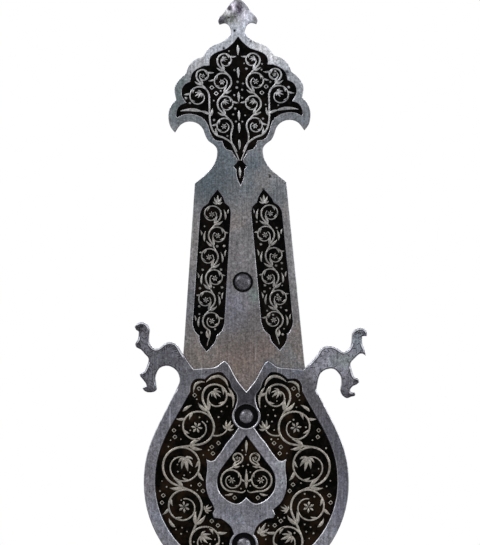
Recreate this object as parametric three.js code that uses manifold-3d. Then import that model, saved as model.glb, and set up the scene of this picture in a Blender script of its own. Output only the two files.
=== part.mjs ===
// A processional steel standard (alam): a flat blade with a palmette head stands on a pear-shaped
// openwork body with two side dragons, and a knop and a socket take the carrying pole.
// Millimetres, +Z up along the pole, front of the plates towards -Y.
// The origin is the centre of the socket's open mouth.
import * as THREE from "three";
import { mergeVertices } from "three/addons/utils/BufferGeometryUtils.js";
import Module from "manifold-3d";

// Fits and fineness
const clearance = 0.3;
const flatness = 0.12;
const turnedSides = 28;

// Socket, collars and knop under the body
const socketMouthRadius = 18;
const socketTopRadius = 13.5;
const poleRadius = 15.5;
const poleDepth = 84;
const sleeveLength = 28;
const rimBandWidth = 9;
const rimBandThickness = 2.4;
const nailHoleRadius = 2;
const nailHoleHeight = 34;
const collarRadius = 17.5;
const collarHeight = 7;
const knopRadius = 20.5;
const knopHeight = 30;
const knopEndRadius = 13;
const tangPinRadius = 2.5;
const tangPinBelowTop = 12;

// Spine and tang behind the plates
const spineThickness = 4;
const spineHalfWidth = 12;
const spineAboveRivet = 22;
const tangHalfWidth = 8;
const tangShortOfPole = 4;

// Plates
const plateThickness = 3;
const frameThickness = 3;
const panelThickness = 1.2;
const pocketDepth = 0.8;
const inlayThickness = 0.5;

// Pear-shaped body, heights from its lowest edge
const neckHalfWidth = 13;
const neckHeight = 8;
const bodyHalfWidth = 92.2;
const bodyWidestHeight = 96;
const bodyHeight = 198.5;
const bandWidth = 10.2;
const bandFootWidth = 15;
const groundInset = 2.5;
const upperBossBelowTop = 42.9;
const lowerBossHeight = 40.1;
const lowerBossX = -2.2;
const eyeletRadius = 12.9;
const eyeletHoleRadius = 10.8;
const postHalfWidth = 8.3;
const dropHalfWidth = 26.2;
const dropBelowUpperEyelet = 4.3;
const dropOverLowerEyelet = 24.1;

// Blade with its head, leaning a little to the left over the upper boss
const bladeLean = THREE.MathUtils.degToRad(0.95);
const bladeX = -1.7;
const bladeFootHeight = 41;
const bladeFootHalfWidth = 55.4;
const bladeTopHeight = 210.2;
const bladeTopHalfWidth = 41.2;
const tongueRadius = 8.4;
const bladeRivetX = -3.1;
const bladeRivetAboveBoss = 120.7;

// Rivets
const shankRadius = 2.8;
const bladeHeadRadius = 7.6;
const bladeHeadHeight = 3.8;
const bossHeadRadius = 6.6;
const bossHeadHeight = 3.6;
const bladeWasherRadius = 9.2;
const bladeWasherThickness = 0.8;
const bossWasherThickness = 1.2;
const roveRadius = 6.2;
const roveThickness = 1.2;
const tailRadius = 4.4;
const tailHeight = 2;

// Levels that follow from the sizes
const sleeveRadius = Math.hypot(tangHalfWidth, spineThickness / 2) + clearance;
const socketLength = poleDepth + sleeveLength;
const knopZ = socketLength + collarHeight;
const collarTopZ = knopZ + knopHeight + collarHeight;
const bodyZ = collarTopZ + neckHeight;
const spineBackY = spineThickness / 2;
const plateBackY = -spineThickness / 2;
const plateFrontY = plateBackY - plateThickness;
const frameFrontY = plateFrontY - frameThickness;
const bandHalfWidth = bodyHalfWidth - bandWidth;
const upperBossHeight = bodyHeight - upperBossBelowTop;
const bladeRivetHeight = upperBossHeight + bladeRivetAboveBoss;
const dropFoot = lowerBossHeight + eyeletRadius + dropOverLowerEyelet;
const dropHeight = upperBossHeight - eyeletRadius - dropBelowUpperEyelet - dropFoot;
const shankHoleRadius = shankRadius + clearance;

const wasm = await Module();
wasm.setup();

// A curve given as a function of 0..1 becomes points that keep within the flatness of it.
function flatten(pointAt, from, to) {
  const [ax, az] = pointAt(from);
  const [bx, bz] = pointAt(to);
  const middle = from + (to - from) / 2;
  const [mx, mz] = pointAt(middle);
  const sag = Math.abs((bx - ax) * (mz - az) - (bz - az) * (mx - ax)) / Math.hypot(bx - ax, bz - az);
  if (sag <= flatness) {
    return [[ax, az, 1]];
  }
  return [...flatten(pointAt, from, middle), ...flatten(pointAt, middle, to)];
}

// Part of an ellipse between two angles in degrees, as corner keys.
function arc(x, z, radiusX, radiusZ, from, to) {
  const pointAt = (t) => {
    const angle = THREE.MathUtils.degToRad(from + (to - from) * t);
    return [x + radiusX * Math.cos(angle), z + radiusZ * Math.sin(angle)];
  };
  const quarters = Math.ceil(Math.abs(to - from) / 45);
  const points = [];
  for (let i = 0; i < quarters; i++) {
    points.push(...flatten(pointAt, i / quarters, (i + 1) / quarters));
  }
  return [...points, [...pointAt(1), 1]];
}

// A cubic curve from start to end, as corner keys.
function bend(start, startPull, endPull, end) {
  const curve = new THREE.CubicBezierCurve(
    ...[start, startPull, endPull, end].map(([x, z]) => new THREE.Vector2(x, z)),
  );
  const pointAt = (t) => curve.getPoint(t).toArray();
  const parts = [0, 0.25, 0.5, 0.75].flatMap((from) => flatten(pointAt, from, from + 0.25));
  return [...parts, [...end, 1]];
}

// Keys are [x, z], or [x, z, 1] at a sharp corner, and the first key is a corner.
// Two neighbouring corners are joined by a straight edge, other keys by a smooth curve.
// The points come back running counter-clockwise.
function outline(keys) {
  const ring = [...keys, keys[0]];
  const points = [];
  let run = [ring[0]];
  for (const key of ring.slice(1)) {
    run.push(key);
    if (key[2]) {
      points.push(...smoothRun(run));
      run = [key];
    }
  }
  const outlinePoints = points.map(([x, z]) => new THREE.Vector2(x, z));
  return THREE.ShapeUtils.isClockWise(outlinePoints) ? outlinePoints.reverse() : outlinePoints;
}

function smoothRun(run) {
  if (run.length === 2) {
    return [run[0]];
  }
  const keys = run.map(([x, z]) => new THREE.Vector3(x, z, 0));
  const curve = new THREE.CatmullRomCurve3(keys, false, "centripetal");
  const pointAt = (t) => curve.getPoint(t).toArray();
  const spans = run.length - 1;
  const points = [];
  for (let i = 0; i < spans; i++) {
    points.push(...flatten(pointAt, i / spans, (i + 1) / spans));
  }
  return points;
}

const mirrored = (keys) => keys.map(([x, z, corner]) => [-x, z, corner]);
const moved = (keys, dx, dz) => keys.map(([x, z, corner]) => [x + dx, z + dz, corner]);

// Right half from the top axis point to the bottom axis point, closed with its mirror image.
function symmetric(half) {
  return [...half, ...mirrored(half.slice(1, -1)).reverse()];
}

// Moves each point of a closed outline inwards by a distance.
function inset(points, distance) {
  return points.map((point, i) => {
    const before = points[(i + points.length - 1) % points.length];
    const after = points[(i + 1) % points.length];
    const a = point.clone().sub(before).normalize();
    const b = after.clone().sub(point).normalize();
    const normal = new THREE.Vector2(-a.y - b.y, a.x + b.x).normalize();
    const stretch = Math.max(0.5, normal.x * -a.y + normal.y * a.x);
    return point.clone().addScaledVector(normal, distance / stretch);
  });
}

const circle = (x, z, radius) => outline(arc(x, z, radius, radius, 0, 360).slice(0, -1));

// A flat plate from its outline and holes, between a back and a front level.
function plate(points, holes, backY, frontY) {
  const shape = new THREE.Shape(points);
  shape.holes = holes.map((hole) => new THREE.Path(hole));
  const geometry = new THREE.ExtrudeGeometry(shape, { depth: backY - frontY, bevelEnabled: false });
  const upright = new THREE.Matrix4().set(1, 0, 0, 0, 0, 0, -1, backY, 0, 1, 0, 0, 0, 0, 0, 1);
  return geometry.applyMatrix4(upright);
}

function toSolid(geometry) {
  const bare = geometry.clone();
  bare.deleteAttribute("normal");
  bare.deleteAttribute("uv");
  const merged = mergeVertices(bare.index ? bare.toNonIndexed() : bare);
  const vertProperties = new Float32Array(merged.attributes.position.array);
  const triVerts = new Uint32Array(merged.index.array);
  return new wasm.Manifold(new wasm.Mesh({ numProp: 3, vertProperties, triVerts }));
}

// Cuts the tools out of a body.
function cut(body, tools) {
  const mesh = tools.reduce((solid, tool) => solid.subtract(toSolid(tool)), toSolid(body)).getMesh();
  const geometry = new THREE.BufferGeometry();
  geometry.setAttribute("position", new THREE.BufferAttribute(new Float32Array(mesh.vertProperties), 3));
  geometry.setIndex(new THREE.BufferAttribute(new Uint32Array(mesh.triVerts), 1));
  return geometry;
}

// Turned about the vertical axis from [radius, height] points that run up the outside.
function turned(profile) {
  const points = profile.map(([radius, height]) => new THREE.Vector2(radius, height));
  const upright = new THREE.Matrix4().set(1, 0, 0, 0, 0, 0, -1, 0, 0, 1, 0, 0, 0, 0, 0, 1);
  return new THREE.LatheGeometry(points, turnedSides).applyMatrix4(upright);
}

// A ring of any turned profile closed on itself.
const ring = (profile) => turned([...profile, profile[0]]);

// Turned about the front-to-back axis from [radius, y] points that run from front to back.
function spun(profile, sides) {
  return new THREE.LatheGeometry(profile.map(([radius, y]) => new THREE.Vector2(radius, y)), sides);
}

const steel = { metalness: 1, roughness: 0.42 };
const materials = {
  blade: { color: 0x8b8d90, ...steel },
  frame: { color: 0x83838f, ...steel },
  plate: { color: 0x55555c, ...steel },
  black: { color: 0x191612, metalness: 0.1, roughness: 0.75 },
  rivet: { color: 0x77787c, ...steel },
  washer: { color: 0x24221f, metalness: 0.6, roughness: 0.6 },
  fitting: { color: 0x6e6f76, ...steel },
};

function piece(name, geometry, material) {
  const mesh = new THREE.Mesh(geometry, new THREE.MeshStandardMaterial(materials[material]));
  mesh.name = name;
  return mesh;
}

const alam = new THREE.Group();
const body = new THREE.Group();
body.position.z = bodyZ;
const blade = new THREE.Group();
blade.position.set(bladeX, 0, upperBossHeight);
blade.rotation.y = -bladeLean;
body.add(blade);
alam.add(body);
blade.updateMatrix();

// A point of the body, seen from the leaning blade.
function onBlade(x, height) {
  const point = new THREE.Vector3(x, 0, height).applyMatrix4(blade.matrix.clone().invert());
  return [point.x, point.z];
}

// Head of the blade, half widths and heights over the upper boss
const headHalf = [
  [0, 376.5, 1], [5, 373.5], [9, 368.5], [12.5, 363.3], [16.6, 359.5], [17.8, 356], [16.6, 352.8, 1],
  [11.5, 354], [8, 351.7], [6.5, 347.8], [6.8, 344], [9.9, 340.4], [15, 336.8], [21.5, 334.5],
  [26.2, 331.8], [29.6, 328.3], [32, 324, 1], [36.5, 322.8], [41, 320.2], [44.8, 316.3], [47.5, 309.4, 1],
  [51.2, 306.3], [55.2, 302.2], [57.8, 297.3], [58, 292.5], [56.7, 285.7, 1], [59.8, 282.9],
  [62.8, 278], [64, 272], [63.6, 266], [62, 261], [58.3, 256.3, 1], [56.2, 259.5], [53, 263.4],
  [48, 265.8], [42, 265.8], [36.5, 263.3], [32.7, 258.5], [31, 253.2], [28.2, 248.2], [23.5, 244.8],
  [20.9, 241.3], [20.7, 236.3], [22.1, 230.3], [25.6, 224.3], [30.4, 219], [35.5, 214.8],
];

// Blackened field of the head
const headFieldHalf = [
  [0, 341.5, 1], [3.2, 337.2], [7, 333.5], [11.1, 330.5], [16.1, 328.8], [21.7, 326.5], [25.1, 323.5],
  [26.4, 319.2], [26, 316, 1], [31, 315.7], [36.5, 313.4], [40.7, 310.4], [42.9, 306.3],
  [43.8, 301.6, 1], [48.5, 299.3], [51.4, 294.8], [51.5, 289.2], [47.5, 282.6, 1], [53, 280.6],
  [55.9, 276.5], [57, 271.2], [56.1, 269.5, 1], [52.2, 271.6], [47, 272.8], [41, 272.3],
  [35.5, 270.3], [31, 266.8], [28.3, 262], [26.9, 256.5], [22.2, 249], [15.7, 247.8, 1],
  [14.8, 244.1], [12, 240.4], [7.4, 239.1, 1], [5.3, 235.4], [2.8, 231.5], [2.7, 228.8],
  [6.2, 224.8, 1], [3.9, 222.4], [3.4, 217.3], [2, 211.8], [0, 207.7, 1],
];

// Long blackened field beside the blade's axis
const cartouche = [
  [20.7, 204.1, 1], [15.9, 196.9], [14.2, 191.6, 1], [10.5, 188.2], [9.2, 183.6, 1], [16.6, 84, 1],
  [19.2, 77], [23.9, 72.7, 1], [25.5, 67.2], [33, 58.5, 1], [38.8, 66.8], [39.6, 73, 1],
  [43.6, 77.7], [45.2, 84, 1], [36.8, 183, 1], [34.3, 188.3], [29.5, 191.6, 1], [27.8, 195.5],
];

// Lower edge of the blade with the tongue that reaches down behind the post to the upper boss.
// The gap makes the same edge a little larger for the plate that goes round it.
function tongueHalf(side, gap) {
  const [bossX, bossZ] = onBlade(0, upperBossHeight);
  const keys = [[17.5, 2], [13.2, -4.2], [10.2, -11.5], [7.4, -19], [6.3, -25]];
  const radius = tongueRadius + gap;
  const end = side > 0 ? arc(bossX, bossZ, radius, radius, 28, -90) : arc(bossX, bossZ, radius, radius, 152, 270);
  return [
    [side * (22.5 + gap) + bossX, bladeFootHeight - gap, 1],
    ...keys.map(([x, drop]) => [side * (x + gap) + bossX, bladeFootHeight + drop - gap]),
    ...end,
  ];
}

function tongueKeys(gap) {
  const left = tongueHalf(-1, gap);
  return [...tongueHalf(1, gap), ...left.slice(0, -1).reverse()];
}

const bladeOutline = outline([
  ...headHalf,
  [bladeTopHalfWidth, bladeTopHeight, 1],
  [bladeFootHalfWidth, bladeFootHeight, 1],
  ...tongueKeys(0),
  [-bladeFootHalfWidth, bladeFootHeight, 1],
  [-bladeTopHalfWidth, bladeTopHeight, 1],
  ...mirrored(headHalf.slice(1)).reverse(),
]);
const fields = {
  head: outline(symmetric(headFieldHalf)),
  blade_left: outline(mirrored(cartouche)),
  blade_right: outline(cartouche),
};
const bladeHoles = [
  circle(...onBlade(bladeRivetX, bladeRivetHeight), shankHoleRadius),
  circle(...onBlade(0, upperBossHeight), shankHoleRadius),
];
const pockets = Object.values(fields).map((field) => (
  plate(field, [], plateFrontY + pocketDepth, plateFrontY - 1)
));
const bladePlate = cut(plate(bladeOutline, bladeHoles, plateBackY, plateFrontY), pockets);
blade.add(piece("blade", bladePlate, "blade"));
for (const [name, field] of Object.entries(fields)) {
  const floorY = plateFrontY + pocketDepth;
  const inlay = plate(inset(field, clearance), [], floorY, floorY - inlayThickness);
  blade.add(piece(`inlay_${name}`, inlay, "black"));
}

// Side dragons, from the frame's shoulder round the head, jaw, spur and claw to the body, with
// heights over the body's top edge
const leftDragon = [
  [47.3, -0.4, 1], [51.6, 4.9], [58, 14.6], [62.7, 21.9], [66, 23.5], [69.7, 23.9], [73.3, 22.7],
  [78.1, 19], [81.4, 18], [84.2, 19.3], [86.6, 22.3], [87.4, 26], [87.2, 30.8], [86.6, 34.9],
  [89.8, 40.5], [94.7, 41.9], [98.3, 40.6], [100.4, 37.7, 1], [99.1, 34.9], [96.7, 33.3, 1],
  [96.9, 29.2], [97.5, 26.3], [99.9, 22.3, 1], [98.7, 19], [94.7, 17.1], [91.1, 13], [88, 9.4],
  [88.5, 4.9], [91.9, -2.3], [95.8, -4.4, 1], [95.5, -6.8], [92.7, -10], [90.3, -13.3],
  [89.5, -15.7, 1], [93.5, -17.2, 1], [91.9, -19.7], [88.7, -21.3], [83, -20.9], [80.5, -18.9],
  [80.9, -14.4], [81.7, -8.8], [80.5, -3.9], [77.8, 0.5], [72.5, 2.5], [67.6, 1.7], [62.7, -1.9],
  [60.4, -6.3], [59.9, -11.2],
];
const rightDragon = [
  [51.5, -1, 1], [54.4, 2.3], [63, 11.4], [66.2, 17.1], [69.5, 19.5], [76, 20.6], [80.8, 19],
  [87.2, 15.3], [91.3, 16.7], [93.7, 20.3], [94.5, 24.3], [94.8, 29.2], [95.3, 32.8], [98.5, 35.6],
  [103, 36.7], [107, 35.2], [108.5, 32.4], [108.3, 29.2, 1], [104.2, 29.2, 1], [104, 26],
  [104.6, 21.1], [106.2, 17.9], [107.5, 11.4, 1], [105.4, 13], [102.6, 13.5], [99.4, 11.4],
  [96.1, 8.1], [93.7, 4.9], [94.5, 0.1], [95.8, -4.7], [97.4, -7.7], [100.2, -8.4], [101.6, -12, 1],
  [99.4, -14.1], [95.8, -15.7], [93.3, -18.9], [93.7, -20.9, 1], [97.7, -21.3, 1], [97.7, -24.2],
  [94.1, -25.3], [90.5, -26.6], [86.4, -24.2], [84.4, -19.7], [85.2, -14.4], [85.2, -8.8], [84, -5.5],
  [78.4, -0.3], [71.9, -0.7], [67, -3.9], [64.6, -9.6],
];
const bodyShoulder = [63, bodyHeight - 18.5];

// Lower outline of the pear on the right, from its shoulder to the neck
function pearSide(halfWidth, footHeight, shoulder) {
  const rise = shoulder[1] - bodyWidestHeight;
  const under = bodyWidestHeight - footHeight;
  const slope = shoulder[0] / halfWidth;
  return [
    ...bend(
      shoulder,
      [halfWidth * (slope + (1 - slope) * 0.5), bodyWidestHeight + rise * 0.62],
      [halfWidth, bodyWidestHeight + rise * 0.43],
      [halfWidth, bodyWidestHeight],
    ).slice(0, -1),
    ...arc(0, bodyWidestHeight, halfWidth, under, 0, -76),
  ];
}

// Half of the outside of the body from the notch under the blade to the foot of the neck
function bodyHalf(dragon, narrow) {
  const pear = pearSide(bodyHalfWidth - narrow, narrow, bodyShoulder);
  return [
    [0, bodyHeight - 20.5, 1], [7.6, bodyHeight - 11.2], [13.2, bodyHeight - 1], [16.6, bodyHeight + 4.9],
    [19.7, bodyHeight + 7.3, 1], [23.7, bodyHeight + 4.5], [27.8, bodyHeight + 1.5],
    [38.5, bodyHeight + 0.3],
    ...moved(dragon, 0, bodyHeight),
    ...pear,
    [neckHalfWidth + 2.2, 0.8], [neckHalfWidth, -neckHeight * 0.6], [neckHalfWidth, -neckHeight, 1],
  ];
}

// One side window of the frame: scallops under the top edge, the post, the eyelets, the arm with
// its barb, the leaf and foot over the lower boss, and the inside of the band
function sideWindow(side) {
  const top = bodyHeight;
  const up = (share) => dropFoot + dropHeight * share;
  const out = (x) => dropHalfWidth + x;
  const foot = lowerBossHeight;
  const swing = side * lowerBossX;
  const upperEyelet = arc(0, upperBossHeight, eyeletRadius, eyeletRadius, 38, -55);
  const lowerEyelet = arc(swing, foot, eyeletRadius, eyeletRadius, 46, -50);
  const band = pearSide(bandHalfWidth, bandFootWidth, [50.3, top - 20.5]).reverse();
  const right = [
    [50, top - 16.1, 1], [47.9, top - 11.6], [44.7, top - 9.4], [37.2, top - 9.6, 1], [34.8, top - 7.3],
    [30, top - 4.5], [22.3, top - 3.5], [18.4, top - 7.5], [14.8, top - 12.1], [13.2, top - 17.3],
    [postHalfWidth + 0.7, top - 23], [postHalfWidth, top - 28], ...upperEyelet,
    [out(-13.6), up(0.987)], [out(-8.5), up(0.891)], [out(-3.1), up(0.754)], [out(2.5), up(0.638), 1],
    [out(6), up(0.625)], [out(9.9), up(0.657), 1], [out(9), up(0.577)], [out(9), up(0.483)],
    [out(10), up(0.374)], [out(9.8), up(0.227)], [out(7.8), up(0.1)],
    [out(4.3), up(-0.002)], ...moved([
      [26.3, 31.6, 1], [28, 27.5], [26.7, 24, 1], [20.8, 23.4], [15.5, 19.9], [11.2, 15.4],
    ], swing, foot),
    ...lowerEyelet,
    [swing + postHalfWidth, bandFootWidth + 9, 1], [postHalfWidth + swing + 1.2, bandFootWidth + 3.6],
    ...band,
  ];
  return outline(side > 0 ? right : mirrored(right));
}

// Drop-shaped window, as shares of its half width and of its height from its lowest point
const dropHalf = [
  [0, 1, 1], [0.218, 0.879], [0.458, 0.741], [0.706, 0.602], [0.897, 0.488], [0.985, 0.39],
  [1, 0.308], [0.954, 0.202], [0.802, 0.108], [0.592, 0.036], [0.332, 0], [0.16, 0.028],
  [0, 0.095, 1],
].map(([x, z, corner]) => [x * dropHalfWidth, dropFoot + z * dropHeight, corner]);

const windows = {
  panel_left: sideWindow(-1),
  panel_right: sideWindow(1),
  panel_drop: outline(symmetric(dropHalf)),
};
const eyelets = [
  circle(0, upperBossHeight, eyeletHoleRadius),
  circle(lowerBossX, lowerBossHeight, eyeletHoleRadius),
];
const frameOutline = outline([
  ...bodyHalf(rightDragon, 0),
  ...mirrored(bodyHalf(leftDragon, 0).slice(1)).reverse(),
]);
const frameHoles = [...Object.values(windows), ...eyelets];
body.add(piece("body_frame", plate(frameOutline, frameHoles, plateFrontY, frameFrontY), "frame"));

// Ground plate behind the openwork: the pear without dragons, cut clear of the blade's foot
const groundHalf = [
  [0, bodyHeight, 1], [54, bodyHeight, 1], [58.5, bodyHeight - 10],
  ...pearSide(bodyHalfWidth - groundInset, groundInset, [bodyShoulder[0] - groundInset, bodyShoulder[1]]),
  [neckHalfWidth + 1.8, 0.8], [neckHalfWidth, -neckHeight * 0.6], [neckHalfWidth, -neckHeight, 1],
  [0, -neckHeight, 1],
];
const groundHoles = [circle(lowerBossX, lowerBossHeight, shankHoleRadius)];
const groundBlank = plate(outline(symmetric(groundHalf)), groundHoles, plateBackY, plateFrontY);
const foot = outline([
  [bladeFootHalfWidth * 2, bladeFootHeight * 2, 1],
  [bladeFootHalfWidth * 2, bladeFootHeight - clearance, 1],
  ...tongueKeys(clearance),
  [-bladeFootHalfWidth * 2, bladeFootHeight - clearance, 1],
  [-bladeFootHalfWidth * 2, bladeFootHeight * 2, 1],
]);
const footCutter = plate(foot, [], plateBackY + 1, plateFrontY - 1).applyMatrix4(blade.matrix);
body.add(piece("ground_plate", cut(groundBlank, [footCutter]), "plate"));
for (const [name, window] of Object.entries(windows)) {
  const panel = plate(inset(window, clearance), [], plateFrontY, plateFrontY - panelThickness);
  body.add(piece(name, panel, "black"));
}

// Spine behind blade and body, its tang running down through collars and knop into the socket
const spineTop = bladeRivetHeight + spineAboveRivet;
const tangFoot = poleDepth + tangShortOfPole - bodyZ;
const tangPinZ = socketLength - tangPinBelowTop;
const spineHalf = [
  [0, spineTop, 1], [spineHalfWidth * 0.62, spineTop - 5.5], [spineHalfWidth, spineTop - 16, 1],
  [spineHalfWidth, -neckHeight, 1], [tangHalfWidth, -neckHeight, 1], [tangHalfWidth, tangFoot, 1],
  [0, tangFoot, 1],
];
const spineHoles = [
  circle(bladeRivetX, bladeRivetHeight, shankHoleRadius),
  circle(0, upperBossHeight, shankHoleRadius),
  circle(lowerBossX, lowerBossHeight, shankHoleRadius),
  circle(0, tangPinZ - bodyZ, tangPinRadius + clearance),
];
body.add(piece("spine", plate(outline(symmetric(spineHalf)), spineHoles, spineBackY, plateBackY), "plate"));

// A domed end from the axis out to its rim; a negative height gives a dome towards the front.
function dome(radius, height, y) {
  const steps = 4;
  const points = [];
  for (let i = 0; i <= steps; i++) {
    const angle = (Math.PI / 2) * (i / steps);
    points.push([radius * Math.sin(angle), y + height * Math.cos(angle)]);
  }
  points[0][0] = 0;
  points[steps][1] = y;
  return points;
}

// Rivet with its washer in front and its rove behind
function rivet(name, x, height, head, washer) {
  const headY = plateFrontY - washer.thickness;
  const tailY = spineBackY + roveThickness;
  const parts = [
    [`rivet_${name}`, spun([
      ...dome(head.radius, -head.height, headY), [shankRadius, headY], [shankRadius, tailY],
      ...dome(tailRadius, tailHeight, tailY).reverse(),
    ], 18), "rivet"],
    [`washer_${name}`, spun([
      [shankHoleRadius, headY], [washer.radius - 1, headY], [washer.radius, headY + washer.thickness / 2],
      [washer.radius, plateFrontY], [shankHoleRadius, plateFrontY], [shankHoleRadius, headY],
    ], 24), "washer"],
    [`rove_${name}`, spun([
      [shankHoleRadius, spineBackY], [roveRadius, spineBackY], [roveRadius - 0.5, tailY],
      [shankHoleRadius, tailY], [shankHoleRadius, spineBackY],
    ], 16), "plate"],
  ];
  for (const [id, geometry, material] of parts) {
    const mesh = piece(id, geometry, material);
    mesh.position.set(x, 0, height);
    body.add(mesh);
  }
}

const bossHead = { radius: bossHeadRadius, height: bossHeadHeight };
const bossWasher = { radius: eyeletHoleRadius - clearance, thickness: bossWasherThickness };
const bladeHead = { radius: bladeHeadRadius, height: bladeHeadHeight };
const bladeWasher = { radius: bladeWasherRadius, thickness: bladeWasherThickness };
rivet("blade", bladeRivetX, bladeRivetHeight, bladeHead, bladeWasher);
rivet("upper", 0, upperBossHeight, bossHead, bossWasher);
rivet("lower", lowerBossX, lowerBossHeight, bossHead, bossWasher);

// Collars and knop between body and socket, bored for the tang
function collar(name, z) {
  const bead = collarHeight / 2;
  const mesh = piece(name, ring([
    [sleeveRadius, 0], [collarRadius - 1.6, 0], [collarRadius - 0.4, bead * 0.45], [collarRadius, bead],
    [collarRadius - 0.4, collarHeight - bead * 0.45], [collarRadius - 1.6, collarHeight],
    [sleeveRadius, collarHeight],
  ]), "fitting");
  mesh.position.z = z;
  alam.add(mesh);
}

collar("collar_lower", socketLength);
collar("collar_upper", knopZ + knopHeight);

const knopProfile = [];
const knopSteps = 8;
for (let i = 0; i <= knopSteps; i++) {
  const t = i / knopSteps;
  const swell = Math.sin(Math.PI * t) ** 0.75;
  knopProfile.push([knopEndRadius + (knopRadius - knopEndRadius) * swell, knopHeight * t]);
}
const knop = piece("knop", ring([
  [sleeveRadius, 0], ...knopProfile, [sleeveRadius, knopHeight],
]), "fitting");
knop.position.z = knopZ;
alam.add(knop);

// Tapered socket: a wide bore for the pole, then a narrow sleeve for the tang
const socketBlank = ring([
  [poleRadius, 0], [socketMouthRadius, 0], [socketMouthRadius, rimBandWidth],
  [socketTopRadius, socketLength - 3], [socketTopRadius, socketLength],
  [sleeveRadius, socketLength], [sleeveRadius, poleDepth], [sleeveRadius + 1, poleDepth],
  [socketTopRadius - 3, poleDepth - 14],
]);
const drill = (radius, z) => (
  spun([[0, -2 * socketMouthRadius], [radius, -2 * socketMouthRadius], [radius, 2 * socketMouthRadius],
    [0, 2 * socketMouthRadius]], 16).translate(0, 0, z)
);
const socketHoles = [drill(tangPinRadius + clearance, tangPinZ), drill(nailHoleRadius, nailHoleHeight)];
alam.add(piece("socket", cut(socketBlank, socketHoles), "fitting"));

const rimBand = ring([
  [socketMouthRadius + clearance, 0], [socketMouthRadius + rimBandThickness, 0],
  [socketMouthRadius + rimBandThickness, rimBandWidth - 1],
  [socketMouthRadius + rimBandThickness - 1, rimBandWidth], [socketMouthRadius + clearance, rimBandWidth],
]);
alam.add(piece("rim_band", rimBand, "fitting"));

// Pin that crosses the socket and the tang, with domed ends over the socket's wall
const pinTaper = (socketMouthRadius - socketTopRadius) / (socketLength - 3 - rimBandWidth);
const pinReach = socketTopRadius + pinTaper * (tangPinBelowTop - 3) + 0.6;
const tangPin = piece("tang_pin", spun([
  ...dome(tangPinRadius, -1.2, -pinReach), ...dome(tangPinRadius, 1.2, pinReach).reverse(),
], 14), "rivet");
tangPin.position.z = tangPinZ;
alam.add(tangPin);

export default alam;
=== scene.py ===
# %% [markdown]
# # A steel processional standard
#
# The object is a tall, flat standard of steel plates: a tapered blade with a palmette head, a
# pear-shaped openwork body with two side dragons, and a knop and a socket for the pole.
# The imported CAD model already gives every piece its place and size, so the lesson starts by
# loading it as a fixed frame. From then on each piece is dressed: its edges are broken, its
# surface gets the grain, scratches and patina of old steel, and the blackened fields are
# filled with a raised leaf-scroll ornament.

# %% Load the frame
import math
import random

import bmesh
import bpy
from mathutils import Euler, Matrix, Vector


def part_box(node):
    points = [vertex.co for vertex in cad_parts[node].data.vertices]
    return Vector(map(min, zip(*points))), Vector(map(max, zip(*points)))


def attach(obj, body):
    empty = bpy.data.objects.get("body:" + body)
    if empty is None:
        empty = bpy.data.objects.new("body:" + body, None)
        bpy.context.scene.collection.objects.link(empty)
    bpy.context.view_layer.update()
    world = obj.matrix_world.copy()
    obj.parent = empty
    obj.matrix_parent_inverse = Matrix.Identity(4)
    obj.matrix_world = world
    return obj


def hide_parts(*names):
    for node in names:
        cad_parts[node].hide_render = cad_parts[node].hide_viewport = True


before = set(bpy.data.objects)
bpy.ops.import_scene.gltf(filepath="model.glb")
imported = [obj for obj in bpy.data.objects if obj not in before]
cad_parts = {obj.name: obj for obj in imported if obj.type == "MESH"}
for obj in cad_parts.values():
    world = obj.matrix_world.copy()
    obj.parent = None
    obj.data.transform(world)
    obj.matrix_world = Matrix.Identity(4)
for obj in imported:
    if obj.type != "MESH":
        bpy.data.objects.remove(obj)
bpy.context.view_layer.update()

mm = 0.001

# %% [markdown]
# ## Where things are
#
# Nothing is placed by eye. The levels of the plates are read from the frame's own boxes: the
# front of the blade, of the black inlays and of the panels, and the rivet in the upper boss,
# over which heights on the blade are counted. The blade's lean and shift are those of the CAD
# model. A point that is drawn on the blade goes through one matrix, the blade's place, and a
# point that is drawn on the body through another, so the drawings can be made upright and in
# millimetres.

# %% Levels and places
blade_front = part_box("blade")[0].y
inlay_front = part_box("inlay_head")[0].y
panel_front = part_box("panel_left")[0].y
# the ground plate's neck reaches this far below the pear's foot
neck_height = 8 * mm
body_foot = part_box("ground_plate")[0].z + neck_height
low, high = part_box("rivet_upper")
upper_boss = ((low + high) / 2).z
blade_lean = math.radians(-0.95)
blade_shift = -1.7 * mm
blade_place = Matrix.Translation((blade_shift, 0, upper_boss)) @ Euler((0, blade_lean, 0)).to_matrix().to_4x4()
body_place = Matrix.Translation((0, 0, body_foot))
print("levels in mm:", [round(y / mm, 2) for y in (blade_front, inlay_front, panel_front)])

# %% [markdown]
# ## Camera
#
# The photograph looks straight at the plates, with no visible perspective, and cuts the pear
# off at its lower edge. A 100 mm lens stands far enough away to keep the plates flat. One
# pixel of the photograph is 0.9 mm on the object, so the picture's middle row and column give
# the height and the side place of the camera, with no lens shift.

# %% Camera
def add_object(name, data):
    """A new object in the scene, at the origin."""
    made = bpy.data.objects.new(name, data)
    bpy.context.scene.collection.objects.link(made)
    return made


picture_width, picture_height = 480, 545
pixel = 0.9 * mm
axis_column, pear_foot_row = 246.3, 589
lens, sensor = 100, 36

camera_data = bpy.data.cameras.new("camera")
camera_data.lens, camera_data.sensor_width = lens, sensor
camera_data.clip_start, camera_data.clip_end = 0.05, 60
camera = add_object("camera", camera_data)
camera_distance = picture_height * pixel * lens / sensor
camera.location = (
    (picture_width / 2 - axis_column) * pixel,
    blade_front - camera_distance,
    body_foot + (pear_foot_row - picture_height / 2) * pixel,
)
camera.rotation_euler = (math.radians(90), 0, 0)
bpy.context.scene.camera = camera
print("camera at", [round(value, 3) for value in camera.location])

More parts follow.
